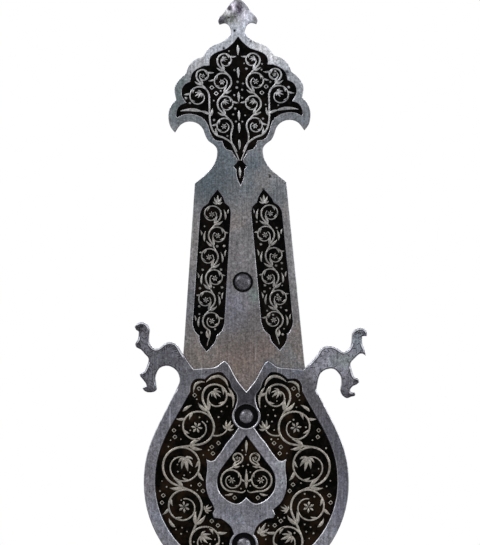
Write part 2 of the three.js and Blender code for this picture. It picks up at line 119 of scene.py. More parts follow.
# %% [markdown]
# ## Wiring nodes in few words
#
# Materials and Geometry Nodes trees are both sheets of nodes joined by links. Writing each
# node and link out by hand hides what the sheet does, so a small helper adds a node, sets its
# values and joins what it is given. A value that is a socket is linked, anything else is set.

# %% Node sheets
class Sheet:
    """The nodes of a material or a tree, joined as they are added."""

    def __init__(self, tree):
        self.tree = tree

    def add(self, kind, inputs=None, **settings):
        """Adds a node with its settings. An input that is a socket is linked, any other is set."""
        made = self.tree.nodes.new(kind)
        for name, value in settings.items():
            setattr(made, name, value)
        for name, value in (inputs or {}).items():
            if isinstance(value, bpy.types.NodeSocket):
                self.tree.links.new(value, made.inputs[name])
            else:
                made.inputs[name].default_value = value
        return made

    def math(self, operation, first, second=0.0, third=0.0):
        """Reckons with numbers."""
        return self.add("ShaderNodeMath", {0: first, 1: second, 2: third}, operation=operation).outputs[0]

    def vector(self, operation, first, second=(0, 0, 0)):
        """Reckons with places. A LENGTH is a number."""
        made = self.add("ShaderNodeVectorMath", {0: first, 1: second}, operation=operation)
        return made.outputs["Value" if operation == "LENGTH" else "Vector"]

    def split(self, place):
        """The three coordinates of a place."""
        return self.add("ShaderNodeSeparateXYZ", {0: place}).outputs

    def joined(self, across, depth, up):
        """Three coordinates as one place."""
        return self.add("ShaderNodeCombineXYZ", {0: across, 1: depth, 2: up}).outputs[0]

    def remap(self, value, low, high, to_low=0.0, to_high=1.0):
        """Stretches a value from one range to another and holds it there."""
        return self.add("ShaderNodeMapRange", {0: value, 1: low, 2: high, 3: to_low, 4: to_high}).outputs[0]

    def mix(self, share, first, second, blend="MIX"):
        """Mixes two colours."""
        inputs = {0: share, 6: first, 7: second}
        return self.add("ShaderNodeMix", inputs, data_type="RGBA", blend_type=blend).outputs[2]


# %% Colours and empty materials
def tone(red, green, blue):
    """A colour as read on the screen, from 0 to 255, as the linear colour that shaders take."""
    shares = (red / 255, green / 255, blue / 255)
    return (*(c / 12.92 if c <= 0.04045 else ((c + 0.055) / 1.055) ** 2.4 for c in shares), 1)


def empty_material(name):
    """A new material, and the sheet its nodes go on."""
    material = bpy.data.materials.new(name)
    material.use_nodes = True
    material.node_tree.nodes.clear()
    return material, Sheet(material.node_tree)


print("a middle grey of the screen is", round(tone(128, 128, 128)[0], 3), "to a shader")

# %% [markdown]
# ## Light and ground
#
# The photograph was taken in soft, even light, and its background is plain. The world is
# white to the camera and to reflections, so polished edges mirror a bright room, and dimmer to
# everything else. Two large lamps in front and one behind draw the relief softly. The floor is
# a pale sheet under the socket, which fades into the white further out.

# %% World
world = bpy.data.worlds.new("bright room")
world.use_nodes = True
bpy.context.scene.world = world
room = Sheet(world.node_tree)
room.tree.nodes.clear()


def seen_directly(sheet):
    """1 for the camera and for rays that mirror or pass through, 0 for soft light."""
    ray = sheet.add("ShaderNodeLightPath")
    mirrored = sheet.math("MAXIMUM", ray.outputs["Is Glossy Ray"], ray.outputs["Is Transmission Ray"])
    return sheet.math("MAXIMUM", ray.outputs["Is Camera Ray"], mirrored)


white = (1, 1, 1, 1)
room_light = 0.55
strength = room.remap(seen_directly(room), 0, 1, room_light, 1.0)
background = room.add("ShaderNodeBackground", {"Color": white, "Strength": strength})
room.add("ShaderNodeOutputWorld", {"Surface": background.outputs[0]})
bpy.context.scene.view_settings.view_transform = "Standard"
print("the room's soft light is", room_light, "of the white that is seen")

# %% Lamps
middle = Vector((0, 0, 0.42))


def lamp(name, place, size, power):
    """A round lamp that looks at the middle of the standard."""
    data = bpy.data.lights.new(name, "AREA")
    data.shape, data.size, data.energy = "DISK", size, power
    made = add_object(name, data)
    made.location = place
    made.rotation_euler = (middle - Vector(place)).to_track_quat("-Z", "Y").to_euler()
    print(name, "of", power, "W stands", round((middle - Vector(place)).length, 2), "m away")


lamp("lamp upper left", (-1.05, -1.0, 1.45), 0.7, 13)
lamp("lamp right", (1.35, -0.95, 0.75), 0.9, 8)
lamp("lamp behind", (0.5, 1.5, 1.3), 0.9, 12)

# %% Floor
def to_mesh(shape, name):
    """Hands a shape that was built with bmesh over as a mesh."""
    mesh = bpy.data.meshes.new(name)
    shape.to_mesh(mesh)
    shape.free()
    return mesh


floor_reach, fade_start, fade_end = 14.0, 0.35, 0.9
floor_grey = (0.86, 0.86, 0.86, 1)
circle = bmesh.new()
bmesh.ops.create_circle(circle, cap_ends=True, segments=64, radius=floor_reach)
floor = add_object("floor", to_mesh(circle, "floor"))

pale, ground = empty_material("pale floor")
away = ground.vector("LENGTH", ground.add("ShaderNodeTexCoord").outputs["Object"])
fade = ground.math("MULTIPLY", ground.remap(away, fade_start, fade_end), seen_directly(ground))
matt = ground.add("ShaderNodeBsdfDiffuse", {"Color": floor_grey})
glow = ground.add("ShaderNodeEmission", {"Color": white, "Strength": 1.0})
surface = ground.add("ShaderNodeMixShader", {0: fade, 1: matt.outputs[0], 2: glow.outputs[0]})
ground.add("ShaderNodeOutputMaterial", {"Surface": surface.outputs[0]})
floor.data.materials.append(pale)
print("floor", 2 * floor_reach, "m across, white beyond", fade_end, "m")

# %% [markdown]
# ## Old steel
#
# Every plate is hand-forged steel that was scraped flat, rubbed with abrasives and left to
# turn grey. A flat grey would look like plastic, so the finish is built in layers: slow clouds
# of patina that lean to brown or to blue, blotches and a fine mottle, the long strokes of the
# scraper, hairline scratches in two directions, short dark flecks, and rust pits. The clouds
# and blotches colour the metal, and the strokes, hairs and pits also bend the light and change
# the gloss. One recipe makes every steel here, and each piece only changes the amounts.

# %% Clouds and strokes
def pattern(sheet, place, cells, detail, roughness=0.6):
    """Cloudy noise of a size given as cells in a metre."""
    inputs = {"Vector": place, "Scale": cells, "Detail": detail, "Roughness": roughness}
    return sheet.add("ShaderNodeTexNoise", inputs).outputs["Fac"]


def shifted(sheet, place, amount):
    """The same place moved aside, so that a second pattern differs from the first."""
    return sheet.vector("ADD", place, (amount, amount, amount))


def streaks(sheet, place, turn, across, along):
    """Noise drawn out along one direction of the plate, as cells in a metre across and along."""
    turned = sheet.add(
        "ShaderNodeMapping",
        {"Vector": place, "Rotation": (0, math.radians(turn), 0), "Scale": (across, 1.0, along)},
    )
    return pattern(sheet, turned.outputs[0], 1.0, 3.0)


# %% Scratches and pits
def hairlines(sheet, place, turn, mask, amount):
    """Fine single scratches that lie in one direction, in patches."""
    line = sheet.remap(streaks(sheet, place, turn, 520, 9), 0.64, 0.71)
    return sheet.math("MULTIPLY", line, sheet.remap(mask, 0.42, 0.6, 0.0, amount))


def ragged(sheet, place, cells):
    """The place pushed about by fine noise, so that what is drawn there loses its round outline."""
    noise = sheet.add("ShaderNodeTexNoise", {"Vector": place, "Scale": cells * 2.2, "Detail": 3.0})
    centred = sheet.vector("SUBTRACT", noise.outputs["Color"], (0.5, 0.5, 0.5))
    push = 0.9 / cells
    return sheet.vector("ADD", place, sheet.vector("MULTIPLY", centred, (push, push, push)))


def rust_pits(sheet, place, cells, share):
    """Small ragged pits in a share of the cells."""
    found = sheet.add("ShaderNodeTexVoronoi", {"Vector": ragged(sheet, place, cells), "Scale": cells})
    chosen = sheet.add("ShaderNodeSeparateColor", {0: found.outputs["Color"]})
    size = sheet.math("MULTIPLY", chosen.outputs[1], 0.34)
    dot = sheet.math("SUBTRACT", size, found.outputs["Distance"])
    here = sheet.math("LESS_THAN", chosen.outputs[0], share)
    return sheet.math("MULTIPLY", sheet.remap(dot, 0.0, 0.1), here)


# %% Tones, stains and painted light
border_sway = 25 * mm


def tones_by_height(sheet, place, slow, at, tones):
    """The plate's tones from its foot up. Slow clouds sway the borders between them."""
    levels = [at(height) for height, _ in tones]
    low, high = levels[0], levels[-1] if len(levels) > 1 else levels[0] + 1
    swayed = sheet.math("MULTIPLY_ADD", slow, 2 * border_sway, sheet.split(place)[2])
    ramp = sheet.add("ShaderNodeValToRGB", {0: sheet.remap(swayed, low + border_sway, high + border_sway)})
    stops = ramp.color_ramp.elements
    stops[0].position, stops[0].color = 0.0, tone(*tones[0][1])
    stops[1].position, stops[1].color = 1.0, tone(*tones[-1][1])
    for level, (_, colour) in list(zip(levels, tones))[1:-1]:
        stops.new((level - low) / (high - low)).color = tone(*colour)
    return ramp.outputs[0]


def stained_and_lit(sheet, colour, place, crumbs, at, stains_and_painted_light):
    """Lays stains, and spots of painted highlight and shade, over the colour. Each fades out at its reach, and crumbs
    leave holes in it.
    """
    for across, up, wide, tall, spot_colour, amount, broken in stains_and_painted_light:
        apart = sheet.vector("SUBTRACT", place, (across * mm, 0, at(up)))
        away = sheet.vector("LENGTH", sheet.vector("MULTIPLY", apart, (1 / (wide * mm), 0, 1 / (tall * mm))))
        cover = sheet.math("MULTIPLY", sheet.remap(away, 1.0, 0.4), amount)
        holes = sheet.remap(crumbs, 0.47, 0.53, 1 - broken, 1.0)
        colour = sheet.mix(sheet.math("MULTIPLY", cover, holes), colour, tone(*spot_colour))
    return colour


def shaded(sheet, colour, layers):
    """Darkens and lightens the colour by layers of noise, each with its lowest value and an amount."""
    shade = 1.0
    for layer, least, amount in layers:
        shade = sheet.math("MULTIPLY", shade, sheet.remap(layer, least, 1 - least, 1 - amount, 1 + amount))
    grey = sheet.add("ShaderNodeCombineColor", {0: shade, 1: shade, 2: shade}).outputs[0]
    return sheet.mix(1.0, colour, grey, "MULTIPLY")


def metal(sheet, colour, metallic, gloss, relief, strength):
    """Closes a sheet as a metal, whose fine relief bends the light."""
    bump = sheet.add("ShaderNodeBump", {"Strength": strength, "Distance": 0.2 * mm, "Height": relief})
    finish = sheet.add("ShaderNodeBsdfPrincipled", {
        "Base Color": colour, "Metallic": metallic, "Roughness": gloss, "Normal": bump.outputs[0],
    })
    sheet.add("ShaderNodeOutputMaterial", {"Surface": finish.outputs[0]})


# %% The steel recipe
scratch_tone, fleck_tone, rust_tone = (205, 205, 210), (58, 54, 60), (40, 34, 36)


def steel(
    name, at, tones, warm=(120, 103, 90), cool=(92, 104, 114), rough=0.42, cloud=0.3, mottle=0.3, grain=0.2,
    hair=0.5, flecks=0.3, pits=0.12, pit_cells=190, stains_and_painted_light=(), painted_shade_below=None, flank_shade=None
):
    """Old steel. The tones are colours by drawn height, which `at` turns into the frame's.

    A stain is where it lies across and up, its reach across and up, a colour, an amount, and how
    broken up it is; some of the stains are painted highlight and painted shade. The colour for
    faces that look down is painted shade under light from above, with the upper faces left bright.
    The colour for faces that don't look forward is painted shade on the sides of the relief.
    """
    material, sheet = empty_material(name)
    where = sheet.add("ShaderNodeTexCoord")
    place, facing = where.outputs["Object"], sheet.split(where.outputs["Normal"])
    slow = pattern(sheet, place, 16, 5, 0.62)
    other = pattern(sheet, shifted(sheet, place, 0.7), 24, 5, 0.66)
    blotch = pattern(sheet, place, 85, 6, 0.7)
    patch = pattern(sheet, shifted(sheet, place, 0.3), 210, 4, 0.7)
    fine = pattern(sheet, shifted(sheet, place, 0.5), 430, 3, 0.7)
    speckle = pattern(sheet, place, 900, 2)
    strokes = streaks(sheet, place, 4, 600, 20)

    colour = tones_by_height(sheet, place, slow, at, tones)
    colour = sheet.mix(sheet.remap(slow, 0.5, 0.72, 0.0, cloud * 1.6), colour, tone(*warm))
    colour = sheet.mix(sheet.remap(other, 0.52, 0.72, 0.0, cloud * 1.6), colour, tone(*cool))
    # faces that look down are painted dark, as shade under light from above
    if painted_shade_below:
        colour = sheet.mix(sheet.remap(facing[2], 0.2, -0.2), colour, tone(*painted_shade_below))
    # faces that don't look forward are painted dark, as shade on the flanks of the relief
    if flank_shade:
        colour = sheet.mix(sheet.remap(facing[1], -0.9, -0.7), colour, tone(*flank_shade))
    crumbs = sheet.math("MULTIPLY_ADD", patch, 0.6, sheet.math("MULTIPLY", blotch, 0.4))
    colour = stained_and_lit(sheet, colour, place, crumbs, at, stains_and_painted_light)
    colour = shaded(sheet, colour, (
        (slow, 0.3, cloud * 0.4), (blotch, 0.34, cloud * 0.45), (patch, 0.36, mottle * 0.55),
        (fine, 0.37, mottle), (strokes, 0.34, grain), (speckle, 0.35, mottle * 1.1),
    ))
    hairs = sheet.math(
        "MAXIMUM", hairlines(sheet, place, 41, blotch, hair), hairlines(sheet, place, -44, other, hair)
    )
    colour = sheet.mix(sheet.math("MULTIPLY", hairs, 0.6), colour, tone(*scratch_tone))
    marks = sheet.remap(streaks(sheet, place, -2, 430, 110), 0.62, 0.7, 0.0, flecks)
    marks = sheet.math("MULTIPLY", marks, sheet.remap(other, 0.42, 0.56))
    colour = sheet.mix(marks, colour, tone(*fleck_tone))
    large, small = (rust_pits(sheet, place, pit_cells * finer, pits) for finer in (1, 2.6))
    rust = sheet.math("MAXIMUM", large, small)
    colour = sheet.mix(sheet.math("MULTIPLY", rust, 0.85), colour, tone(*rust_tone))

    gloss = sheet.math("ADD", sheet.remap(blotch, 0.3, 0.7, rough - 0.08, rough + 0.1),
                       sheet.remap(strokes, 0.3, 0.7, -0.05, 0.05))
    gloss = sheet.math("MULTIPLY_ADD", rust, 0.3, gloss)
    relief = sheet.math("MULTIPLY_ADD", strokes, 0.5, sheet.math("MULTIPLY", speckle, 0.5))
    relief = sheet.math("SUBTRACT", relief, sheet.math("MULTIPLY_ADD", hairs, 0.5, rust))
    relief = sheet.math("MULTIPLY_ADD", patch, 1.2, relief)
    metal(sheet, colour, 0.9, gloss, relief, 0.7)
    print(name, "has", len(sheet.tree.nodes), "nodes")
    return material


# %% Steel of the blade
def on_blade(height):
    """Height in the frame of a level drawn on the blade, in millimetres over the upper boss."""
    return upper_boss + height * mm


blade_steel = steel(
    "blade steel", on_blade,
    [(24, (110, 102, 100)), (60, (107, 104, 104)), (100, (107, 105, 108)), (185, (110, 109, 112)),
     (206, (93, 101, 108)), (246, (98, 105, 113)), (276, (114, 118, 124)), (312, (162, 165, 172)),
     (350, (168, 173, 183)), (376, (188, 189, 197))],
    hair=0.7, pits=0.1, mottle=0.26,
    stains_and_painted_light=[
        (-9.5, 367, 15, 14, (128, 122, 130), 0.7, 0.9),
        (-0.5, 363, 11, 13, (194, 194, 209), 0.6, 0.1),
        (-18, 364, 6, 6, (212, 212, 215), 0.7, 0.2),
        (-11.2, 368.6, 5, 6, (212, 206, 222), 0.9, 0.0),
        (-4.8, 369.2, 6.6, 5.2, (40, 34, 46), 1.0, 0.5),
        (-7.2, 365.2, 4.6, 7, (56, 48, 62), 0.95, 0.5),
        (-10.8, 361, 5.6, 4.6, (60, 56, 64), 0.9, 0.6),
        (-14.9, 367.2, 3.2, 3.6, (46, 42, 50), 1.0, 0.2),
        (-10, 373.4, 8, 2.6, (80, 74, 82), 0.8, 0.6),
        (-15.5, 357.6, 9, 6.2, (74, 80, 66), 0.95, 0.4),
        (-22.3, 356.6, 5.5, 6, (86, 82, 94), 0.9, 0.4),
        (-22, 354.4, 5, 3.4, (38, 36, 40), 0.9, 0.2),
        (8.5, 357, 5, 5.5, (98, 94, 96), 0.8, 0.4),
        (-10.6, 347, 1.7, 1.7, (18, 18, 22), 1.0, 0.0),
        (3.9, 337, 1.5, 1.5, (30, 30, 34), 1.0, 0.0),
        (36.6, 309, 3, 4, (44, 44, 54), 0.9, 0.5),
        (-20.3, 331, 1.6, 1.6, (26, 26, 32), 1.0, 0.0),
        (15.3, 204, 1.7, 2, (28, 28, 32), 1.0, 0.0),
        (22, 330, 24, 16, (216, 216, 221), 0.7, 0.2),
        (-60, 290, 20, 30, (84, 94, 95), 0.9, 0.3),
        (-52, 268, 26, 18, (92, 98, 102), 0.6, 0.3),
        (-32, 210, 30, 40, (74, 82, 88), 0.75, 0.5),
        (30, 228, 22, 30, (112, 119, 126), 0.5, 0.4),
        (7.5, 110, 9, 12, (94, 108, 104), 0.6, 0.4),
        (-13, 97, 18, 26, (104, 107, 124), 0.5, 0.5),
        (2, 54, 40, 26, (117, 98, 88), 0.55, 0.5),
        (-0.5, 66, 26, 24, (76, 72, 76), 0.5, 1.0),
        # these two light strips along the right and left edges of the blade are painted highlights
        (45, 160, 12, 70, (134, 133, 136), 0.7, 0.3),
        (-50, 158, 10, 40, (132, 132, 133), 0.6, 0.3),
    ],
)

# %% Steel of the pear
def on_body(height):
    """Height in the frame of a level drawn on the body, in millimetres over the pear's foot."""
    return body_foot + height * mm


frame_steel = steel(
    "frame steel", on_body,
    [(0, (118, 119, 127)), (70, (120, 121, 129)), (100, (108, 108, 115)), (160, (105, 104, 112)),
     (200, (95, 95, 101)), (245, (98, 98, 105))],
    warm=(98, 92, 98), cool=(98, 106, 122), hair=0.7, pits=0.16, mottle=0.28,
    stains_and_painted_light=[
        (84, 140, 34, 85, (72, 72, 80), 0.9, 0.4),
        (80, 80, 26, 34, (92, 93, 106), 0.6, 0.4),
        (58, 176, 26, 24, (74, 73, 76), 0.8, 0.3),
        (-20, 194, 22, 22, (74, 74, 78), 0.75, 0.3),
        (18, 194, 18, 18, (84, 82, 86), 0.6, 0.3),
        # a painted shadow on the post above the upper eyelet
        (0, 170, 30, 30, (48, 47, 53), 0.95, 0.15),
        # a painted highlight on the right arm of the drop
        (32, 108, 16, 30, (138, 140, 148), 0.8, 0.3),
        (0, 76, 40, 16, (97, 97, 104), 0.6, 0.3),
        (-78, 208, 40, 44, (86, 86, 94), 0.85, 0.4),
        (-90.5, 179, 9, 6, (42, 41, 45), 0.85, 0.5),
        (-97.5, 236, 7, 7, (50, 49, 54), 0.75, 0.4),
        (-98, 219, 6, 5, (46, 45, 50), 0.8, 0.4),
        (80, 212, 36, 36, (134, 134, 145), 0.9, 0.15),
        (86, 206, 16, 9, (112, 121, 119), 0.7, 0.4),
        (100, 224, 10, 14, (116, 126, 133), 0.6, 0.3),
        (96.5, 174.5, 7, 4, (44, 43, 46), 0.85, 0.3),
        (100.5, 188, 5, 4, (40, 39, 42), 0.85, 0.3),
        (107.5, 210.5, 4, 4, (22, 22, 26), 0.95, 0.0),
        (107.5, 228.5, 4, 3, (66, 70, 80), 0.8, 0.2),
    ],
)

# %% Other steels
def over_floor(height):
    """Height in the frame of a level given in millimetres over the floor."""
    return height * mm


# bright steel for the broken edges: rubbed metal and painted highlight together, with painted shade on the faces that
# look down
rubbed_steel_lit_above = steel(
    "rubbed steel lit from above", on_body, [(0, (206, 207, 214))], warm=(112, 108, 112), cool=(142, 148, 160), rough=0.32,
    cloud=0.55, mottle=0.2, hair=0.2, flecks=0.2, pits=0.05, painted_shade_below=(66, 64, 71),
)
plate_steel = steel(
    "forged plate steel", on_body, [(0, (88, 87, 92))], warm=(112, 98, 90), rough=0.46, cloud=0.4, pits=0.16,
    pit_cells=230,
)
rivet_steel = steel(
    "rivet steel", on_blade, [(0, (96, 95, 101)), (120, (78, 77, 83))], warm=(58, 55, 58), cool=(124, 125, 135),
    rough=0.34, cloud=0.5, mottle=0.42, pits=0.2, pit_cells=420,
)
fitting_steel = steel(
    "fitting steel", over_floor, [(0, (96, 96, 102)), (160, (108, 108, 116))], rough=0.36, cloud=0.35,
    mottle=0.18, grain=0.3, pits=0.16,
)

# %% [markdown]
# ## Blackened grounds and pale relief
#
# The fields of the ornament are cut down, stippled with a punch and blackened, and on the body
# the black has gone brown in clouds. The raised strokes were rubbed clean again, so they are
# pale steel, with painted shade on their flanks, the faces that don't look forward. The black is
# a thin skin on the metal, so the shader is still a metal with a very dark colour. The stipple is a bump from small
# cells,
# which is enough at this depth, and the colour comes from the same kind of layers as on the
# steel.

# %% Black grounds
dust_tone, stipple_tone = (33, 30, 28), (70, 66, 62)


def blackened(name, dark, brown, share):
    """Blackened steel, gone brown in clouds by a share."""
    material, sheet = empty_material(name)
    place = sheet.add("ShaderNodeTexCoord").outputs["Object"]
    slow = pattern(sheet, place, 42, 5, 0.66)
    blotch = pattern(sheet, place, 190, 5, 0.7)
    cells = sheet.add("ShaderNodeTexVoronoi", {"Vector": place, "Scale": 1100}).outputs["Distance"]
    colour = sheet.mix(sheet.remap(slow, 0.48, 0.64, 0.0, share), tone(*dark), tone(*brown))
    colour = sheet.mix(sheet.remap(blotch, 0.52, 0.7, 0.0, 0.5), colour, tone(*dust_tone))
    colour = sheet.mix(sheet.remap(cells, 0.1, 0.02, 0.0, 0.3), colour, tone(*stipple_tone))
    gloss = sheet.remap(blotch, 0.3, 0.7, 0.5, 0.75)
    metal(sheet, colour, 0.97, gloss, sheet.math("MULTIPLY_ADD", blotch, 0.6, cells), 0.6)
    return material


black_ground = blackened("black ground", (3, 3, 3), (21, 16, 13), 0.6)
brown_ground = blackened("brown-black ground", (3, 3, 2), (38, 26, 16), 0.8)
for nodes, ground in (
    (("inlay_head", "inlay_blade_left", "inlay_blade_right"), black_ground),
    (("panel_left", "panel_right", "panel_drop"), brown_ground),
):
    for node in nodes:
        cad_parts[node].data.materials.clear()
        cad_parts[node].data.materials.append(ground)
    print(ground.name, "on", *nodes)

# %% Pale relief
# the flank colours below are painted shade on the sides of the raised strokes
relief_wear = dict(cloud=0.5, grain=0.06, hair=0.1, flecks=0.5, pit_cells=500)
silver_relief = steel(
    "silver relief", on_blade,
    [(60, (130, 127, 124)), (200, (133, 132, 131)), (260, (148, 148, 150)), (340, (166, 166, 169))],
    warm=(84, 77, 72), cool=(104, 107, 110), rough=0.38, pits=0.14, mottle=0.24, flank_shade=(36, 34, 33), **relief_wear,
)
beige_relief = steel(
    "beige relief", on_body, [(0, (143, 138, 131)), (200, (143, 139, 132))], warm=(88, 77, 66), cool=(108, 108, 108),
    rough=0.4, pits=0.18, mottle=0.22, flank_shade=(38, 33, 29), **relief_wear,
)

# %% [markdown]
# ## Breaking the plates' edges
#
# A plate straight from the CAD has knife edges, which catch no light. On the real standard the
# edges are filed and rubbed bright. Each plate is copied, its triangles are joined up, and a
# Bevel modifier cuts a narrow slope along every sharp edge. The slope takes the second
# material slot, rubbed steel at the front and the frame's plain steel on the two plates at the
# back, so the outline is real geometry with its own finish. The rubbed steel's bright tone is
# rubbed metal and painted highlight together, and its faces that look down are painted shade,
# as light from above would leave them.

# %% Dressing a plate
weld, flat_turn, sharp_turn = 1e-6, math.radians(0.5), math.radians(32)


def welded(mesh, distance):
    """A mesh opened as a shape, with corners joined that lie within a distance."""
    shape = bmesh.new()
    shape.from_mesh(mesh)
    bmesh.ops.remove_doubles(shape, verts=shape.verts, dist=distance)
    return shape


def merged_copy(node):
    """The node's triangles as one closed shape, with no needless edges on flat faces."""
    shape = welded(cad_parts[node].data, weld)
    bmesh.ops.dissolve_limit(shape, angle_limit=flat_turn, verts=shape.verts, edges=shape.edges, delimit=set())
    return shape


def finish_piece(name, mesh, slot, materials, *nodes):
    """Turns a mesh into a piece of the standard that stands for the given nodes."""
    mesh.materials.clear()
    for material in materials:
        mesh.materials.append(material)
    piece = add_object(name, mesh)
    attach(piece, "root")
    if nodes:
        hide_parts(*nodes)
    return piece


def dressed_plate(name, node, slot, materials, edge, share=None, split_at=None):
    """A CAD plate with its edges broken by a narrow slope in the second material.

    A share is a rule that gives each sharp edge its part of the slope's full width. A large
    face round many holes may be split at a height, so that it's cut into sound triangles.
    """
    shape = merged_copy(node)
    if split_at is not None:
        everything = [*shape.verts, *shape.edges, *shape.faces]
        bmesh.ops.bisect_plane(shape, geom=everything, plane_co=(0, 0, split_at), plane_no=(0, 0, 1))
    for face in shape.faces:
        face.smooth = True
    weight = shape.edges.layers.float.new("bevel_weight_edge")
    for rim in shape.edges:
        sharp = len(rim.link_faces) != 2 or rim.calc_face_angle(0) >= sharp_turn
        rim.smooth = not sharp
        rim[weight] = (share(rim) if share else 1.0) if sharp else 0.0
    faces = len(shape.faces)
    piece = finish_piece(name, to_mesh(shape, name), slot, materials, node)
    slope = piece.modifiers.new("broken edges", "BEVEL")
    slope.limit_method, slope.use_clamp_overlap = "WEIGHT", False
    slope.width, slope.segments = edge, 2
    slope.harden_normals = True
    slope.material = 1
    print(name, "from", faces, "faces, slope", round(edge / mm, 2), "mm")


# %% Plates and spine
pear_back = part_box("body_frame")[1].y


def pear_slope(rim):
    """Wide round the notch, the upper eyelet and the drop's arms, where the edge light painted on the slope shows
    widest.

    It is finer on the dragons and finest at the back, which nobody rubs.
    """
    if min(corner.co.y for corner in rim.verts) > pear_back - 0.1 * mm:
        return 0.25
    spot = (rim.verts[0].co + rim.verts[1].co) / 2
    aside, height = abs(spot.x) / mm, (spot.z - body_foot) / mm
    if aside > 52 and height > 180 or aside > 80 and height > 165:
        return 0.36
    if aside < 50 and height > 176 or aside < 36 and height > 122:
        return 0.6
    return 0.5


def blade_slope(rim):
    """Finer on the tongue, behind the frame."""
    return 0.5 if max(corner.co.z for corner in rim.verts) < on_body(200) else 1.0


dressed_plate("blade_plate", "blade", "blade_steel", [blade_steel, rubbed_steel_lit_above], 0.35 * mm, blade_slope)
dressed_plate("pear_frame", "body_frame", "frame_steel", [frame_steel, rubbed_steel_lit_above], 1.35 * mm, pear_slope)
dressed_plate("back_plate", "ground_plate", "plate_steel", [plate_steel, frame_steel], 0.4 * mm, None, on_body(105))
dressed_plate("spine_strip", "spine", "plate_steel", [plate_steel, frame_steel], 0.5 * mm)

# %% [markdown]
# ## Strokes of the ornament
#
# The fields hold a leaf-scroll ornament that is drawn here from scratch, with compasses, as
# such ornament always was. A row of circles fills the field. One stem swings along the row,
# round one side of a circle, across, and round the other side of the next, and out of it a
# coil winds into each circle and ends in a flower. Leaves grow where the stem crosses over.
# Each stroke is a list of places with half widths, in millimetres, drawn on a flat sheet. A
# Geometry Nodes tree raises them later.

# %% Leaves, flowers and arcs
def on_circle(centre, radius, angle):
    """The place on a circle at an angle in degrees."""
    turn = math.radians(angle)
    return centre[0] + radius * math.cos(turn), centre[1] + radius * math.sin(turn)


def leaf(start, heading, length, turn, width, fullest=0.4):
    """A pointed leaf that bends by so many degrees and is widest at a share of its length."""
    steps, tip = 8, 0.2
    step, bend = length / steps, math.radians(turn) / steps
    (across, up), angle = start, math.radians(heading)
    power = math.log(0.5) / math.log(fullest)
    points = []
    for i in range(steps + 1):
        half = width / 2 * max(0.0, math.sin(math.pi * (i / steps) ** power)) ** 0.8
        points.append((across, up, max(half, tip)))
        angle += bend / 2
        across += math.cos(angle) * step
        up += math.sin(angle) * step
        angle += bend / 2
    return points


def palmette(place, heading, size):
    """Five leaves in a fan."""
    parts = [leaf(place, heading, size, 0, size * 0.34)]
    for side in (-1, 1):
        for aside, length, bend, width in ((46, 0.86, 34, 0.3), (98, 0.62, 60, 0.27)):
            parts.append(leaf(place, heading + side * aside, size * length, -side * bend, size * width))
    return parts


def rosette(centre, size, turned):
    """Six short petals round a middle."""
    angles = [turned + 360 * k / 6 for k in range(6)]
    return [
        leaf(on_circle(centre, size * 0.12, angle), angle, size * 0.88, 0, size * 0.52, 0.62) for angle in angles
    ]


def lozenges(*centres):
    """Small squares on their points, pierced in the middle. Each laps a little over its start."""
    reach, half, made = 1.8, 0.58, []
    for centre in centres:
        corners = [on_circle(centre, reach, 90 * k) for k in range(5)]
        start, end = (tuple(a + (b - a) * share for a, b in zip(*corners[:2])) for share in (0.5, 0.56))
        made.append([(*spot, half) for spot in (start, *corners[1:], end)])
    return made


def widening(widths, share):
    """The half width at a share of the way from one width to another."""
    return (widths[0] + (widths[1] - widths[0]) * share) / 2


def bow(centre, radius, first, last, width):
    """An arc from one angle to another."""
    count = max(2, round(abs(last - first) / 12))
    return [(*on_circle(centre, radius, first + (last - first) * i / count), width / 2) for i in range(count + 1)]


def coil_reach(radius, close, share):
    """How far from the middle a coil is at a share of its way in."""
    return radius * (1 - (1 - close) * share ** 1.1)


def coil(centre, radius, first, turn, close, widths):
    """A spiral that starts on a circle and winds in to a share of its radius."""
    count = max(8, round(abs(turn) / 13))
    points = []
    for i in range(count + 1):
        reach = coil_reach(radius, close, i / count)
        points.append((*on_circle(centre, reach, first + turn * i / count), widening(widths, i / count)))
    return points


def sweep(start, heading, end, end_heading, widths):
    """A curve that leaves one place and reaches another in given directions."""
    reach, steps = math.dist(start, end) * 0.42, 9
    handles = (start, on_circle(start, reach, heading), on_circle(end, -reach, end_heading), end)
    points = []
    for i in range(steps + 1):
        t = i / steps
        shares = ((1 - t) ** 3, 3 * t * (1 - t) ** 2, 3 * t * t * (1 - t), t ** 3)
        spot = (sum(share * handle[axis] for share, handle in zip(shares, handles)) for axis in (0, 1))
        points.append((*spot, widening(widths, t)))
    return points


def smooth(keys, steps=6):
    """A smooth stroke through keys of place and half width."""
    ends = [keys[0], *keys, keys[-1]]
    points = []
    for before, first, second, after in zip(ends, ends[1:], ends[2:], ends[3:]):
        for step in range(steps):
            t = step / steps
            points.append(tuple(
                0.5 * (2 * b + (c - a) * t + (2 * a - 5 * b + 4 * c - d) * t * t + (3 * b - a - 3 * c + d) * t ** 3)
                for a, b, c, d in zip(before, first, second, after)
            ))
    return [*points, tuple(keys[-1])]


def mirrored(strokes):
    """The same strokes on the other side of the axis."""
    return [[(-across, up, half) for across, up, half in stroke] for stroke in strokes]


# %% The running scroll
def crossing(first, second, spin):
    """The line that leaves one circle and joins the next on its other side, as angles and a heading."""
    (x1, y1, r1), (x2, y2, r2) = first, second
    apart, across = math.hypot(x2 - x1, y2 - y1), -spin * (r1 + r2)
    lean = math.degrees(math.atan2(across, math.sqrt(max(0.0, apart ** 2 - across ** 2))))
    heading = math.degrees(math.atan2(y2 - y1, x2 - x1)) - lean
    return heading - spin * 90, heading + spin * 90, heading


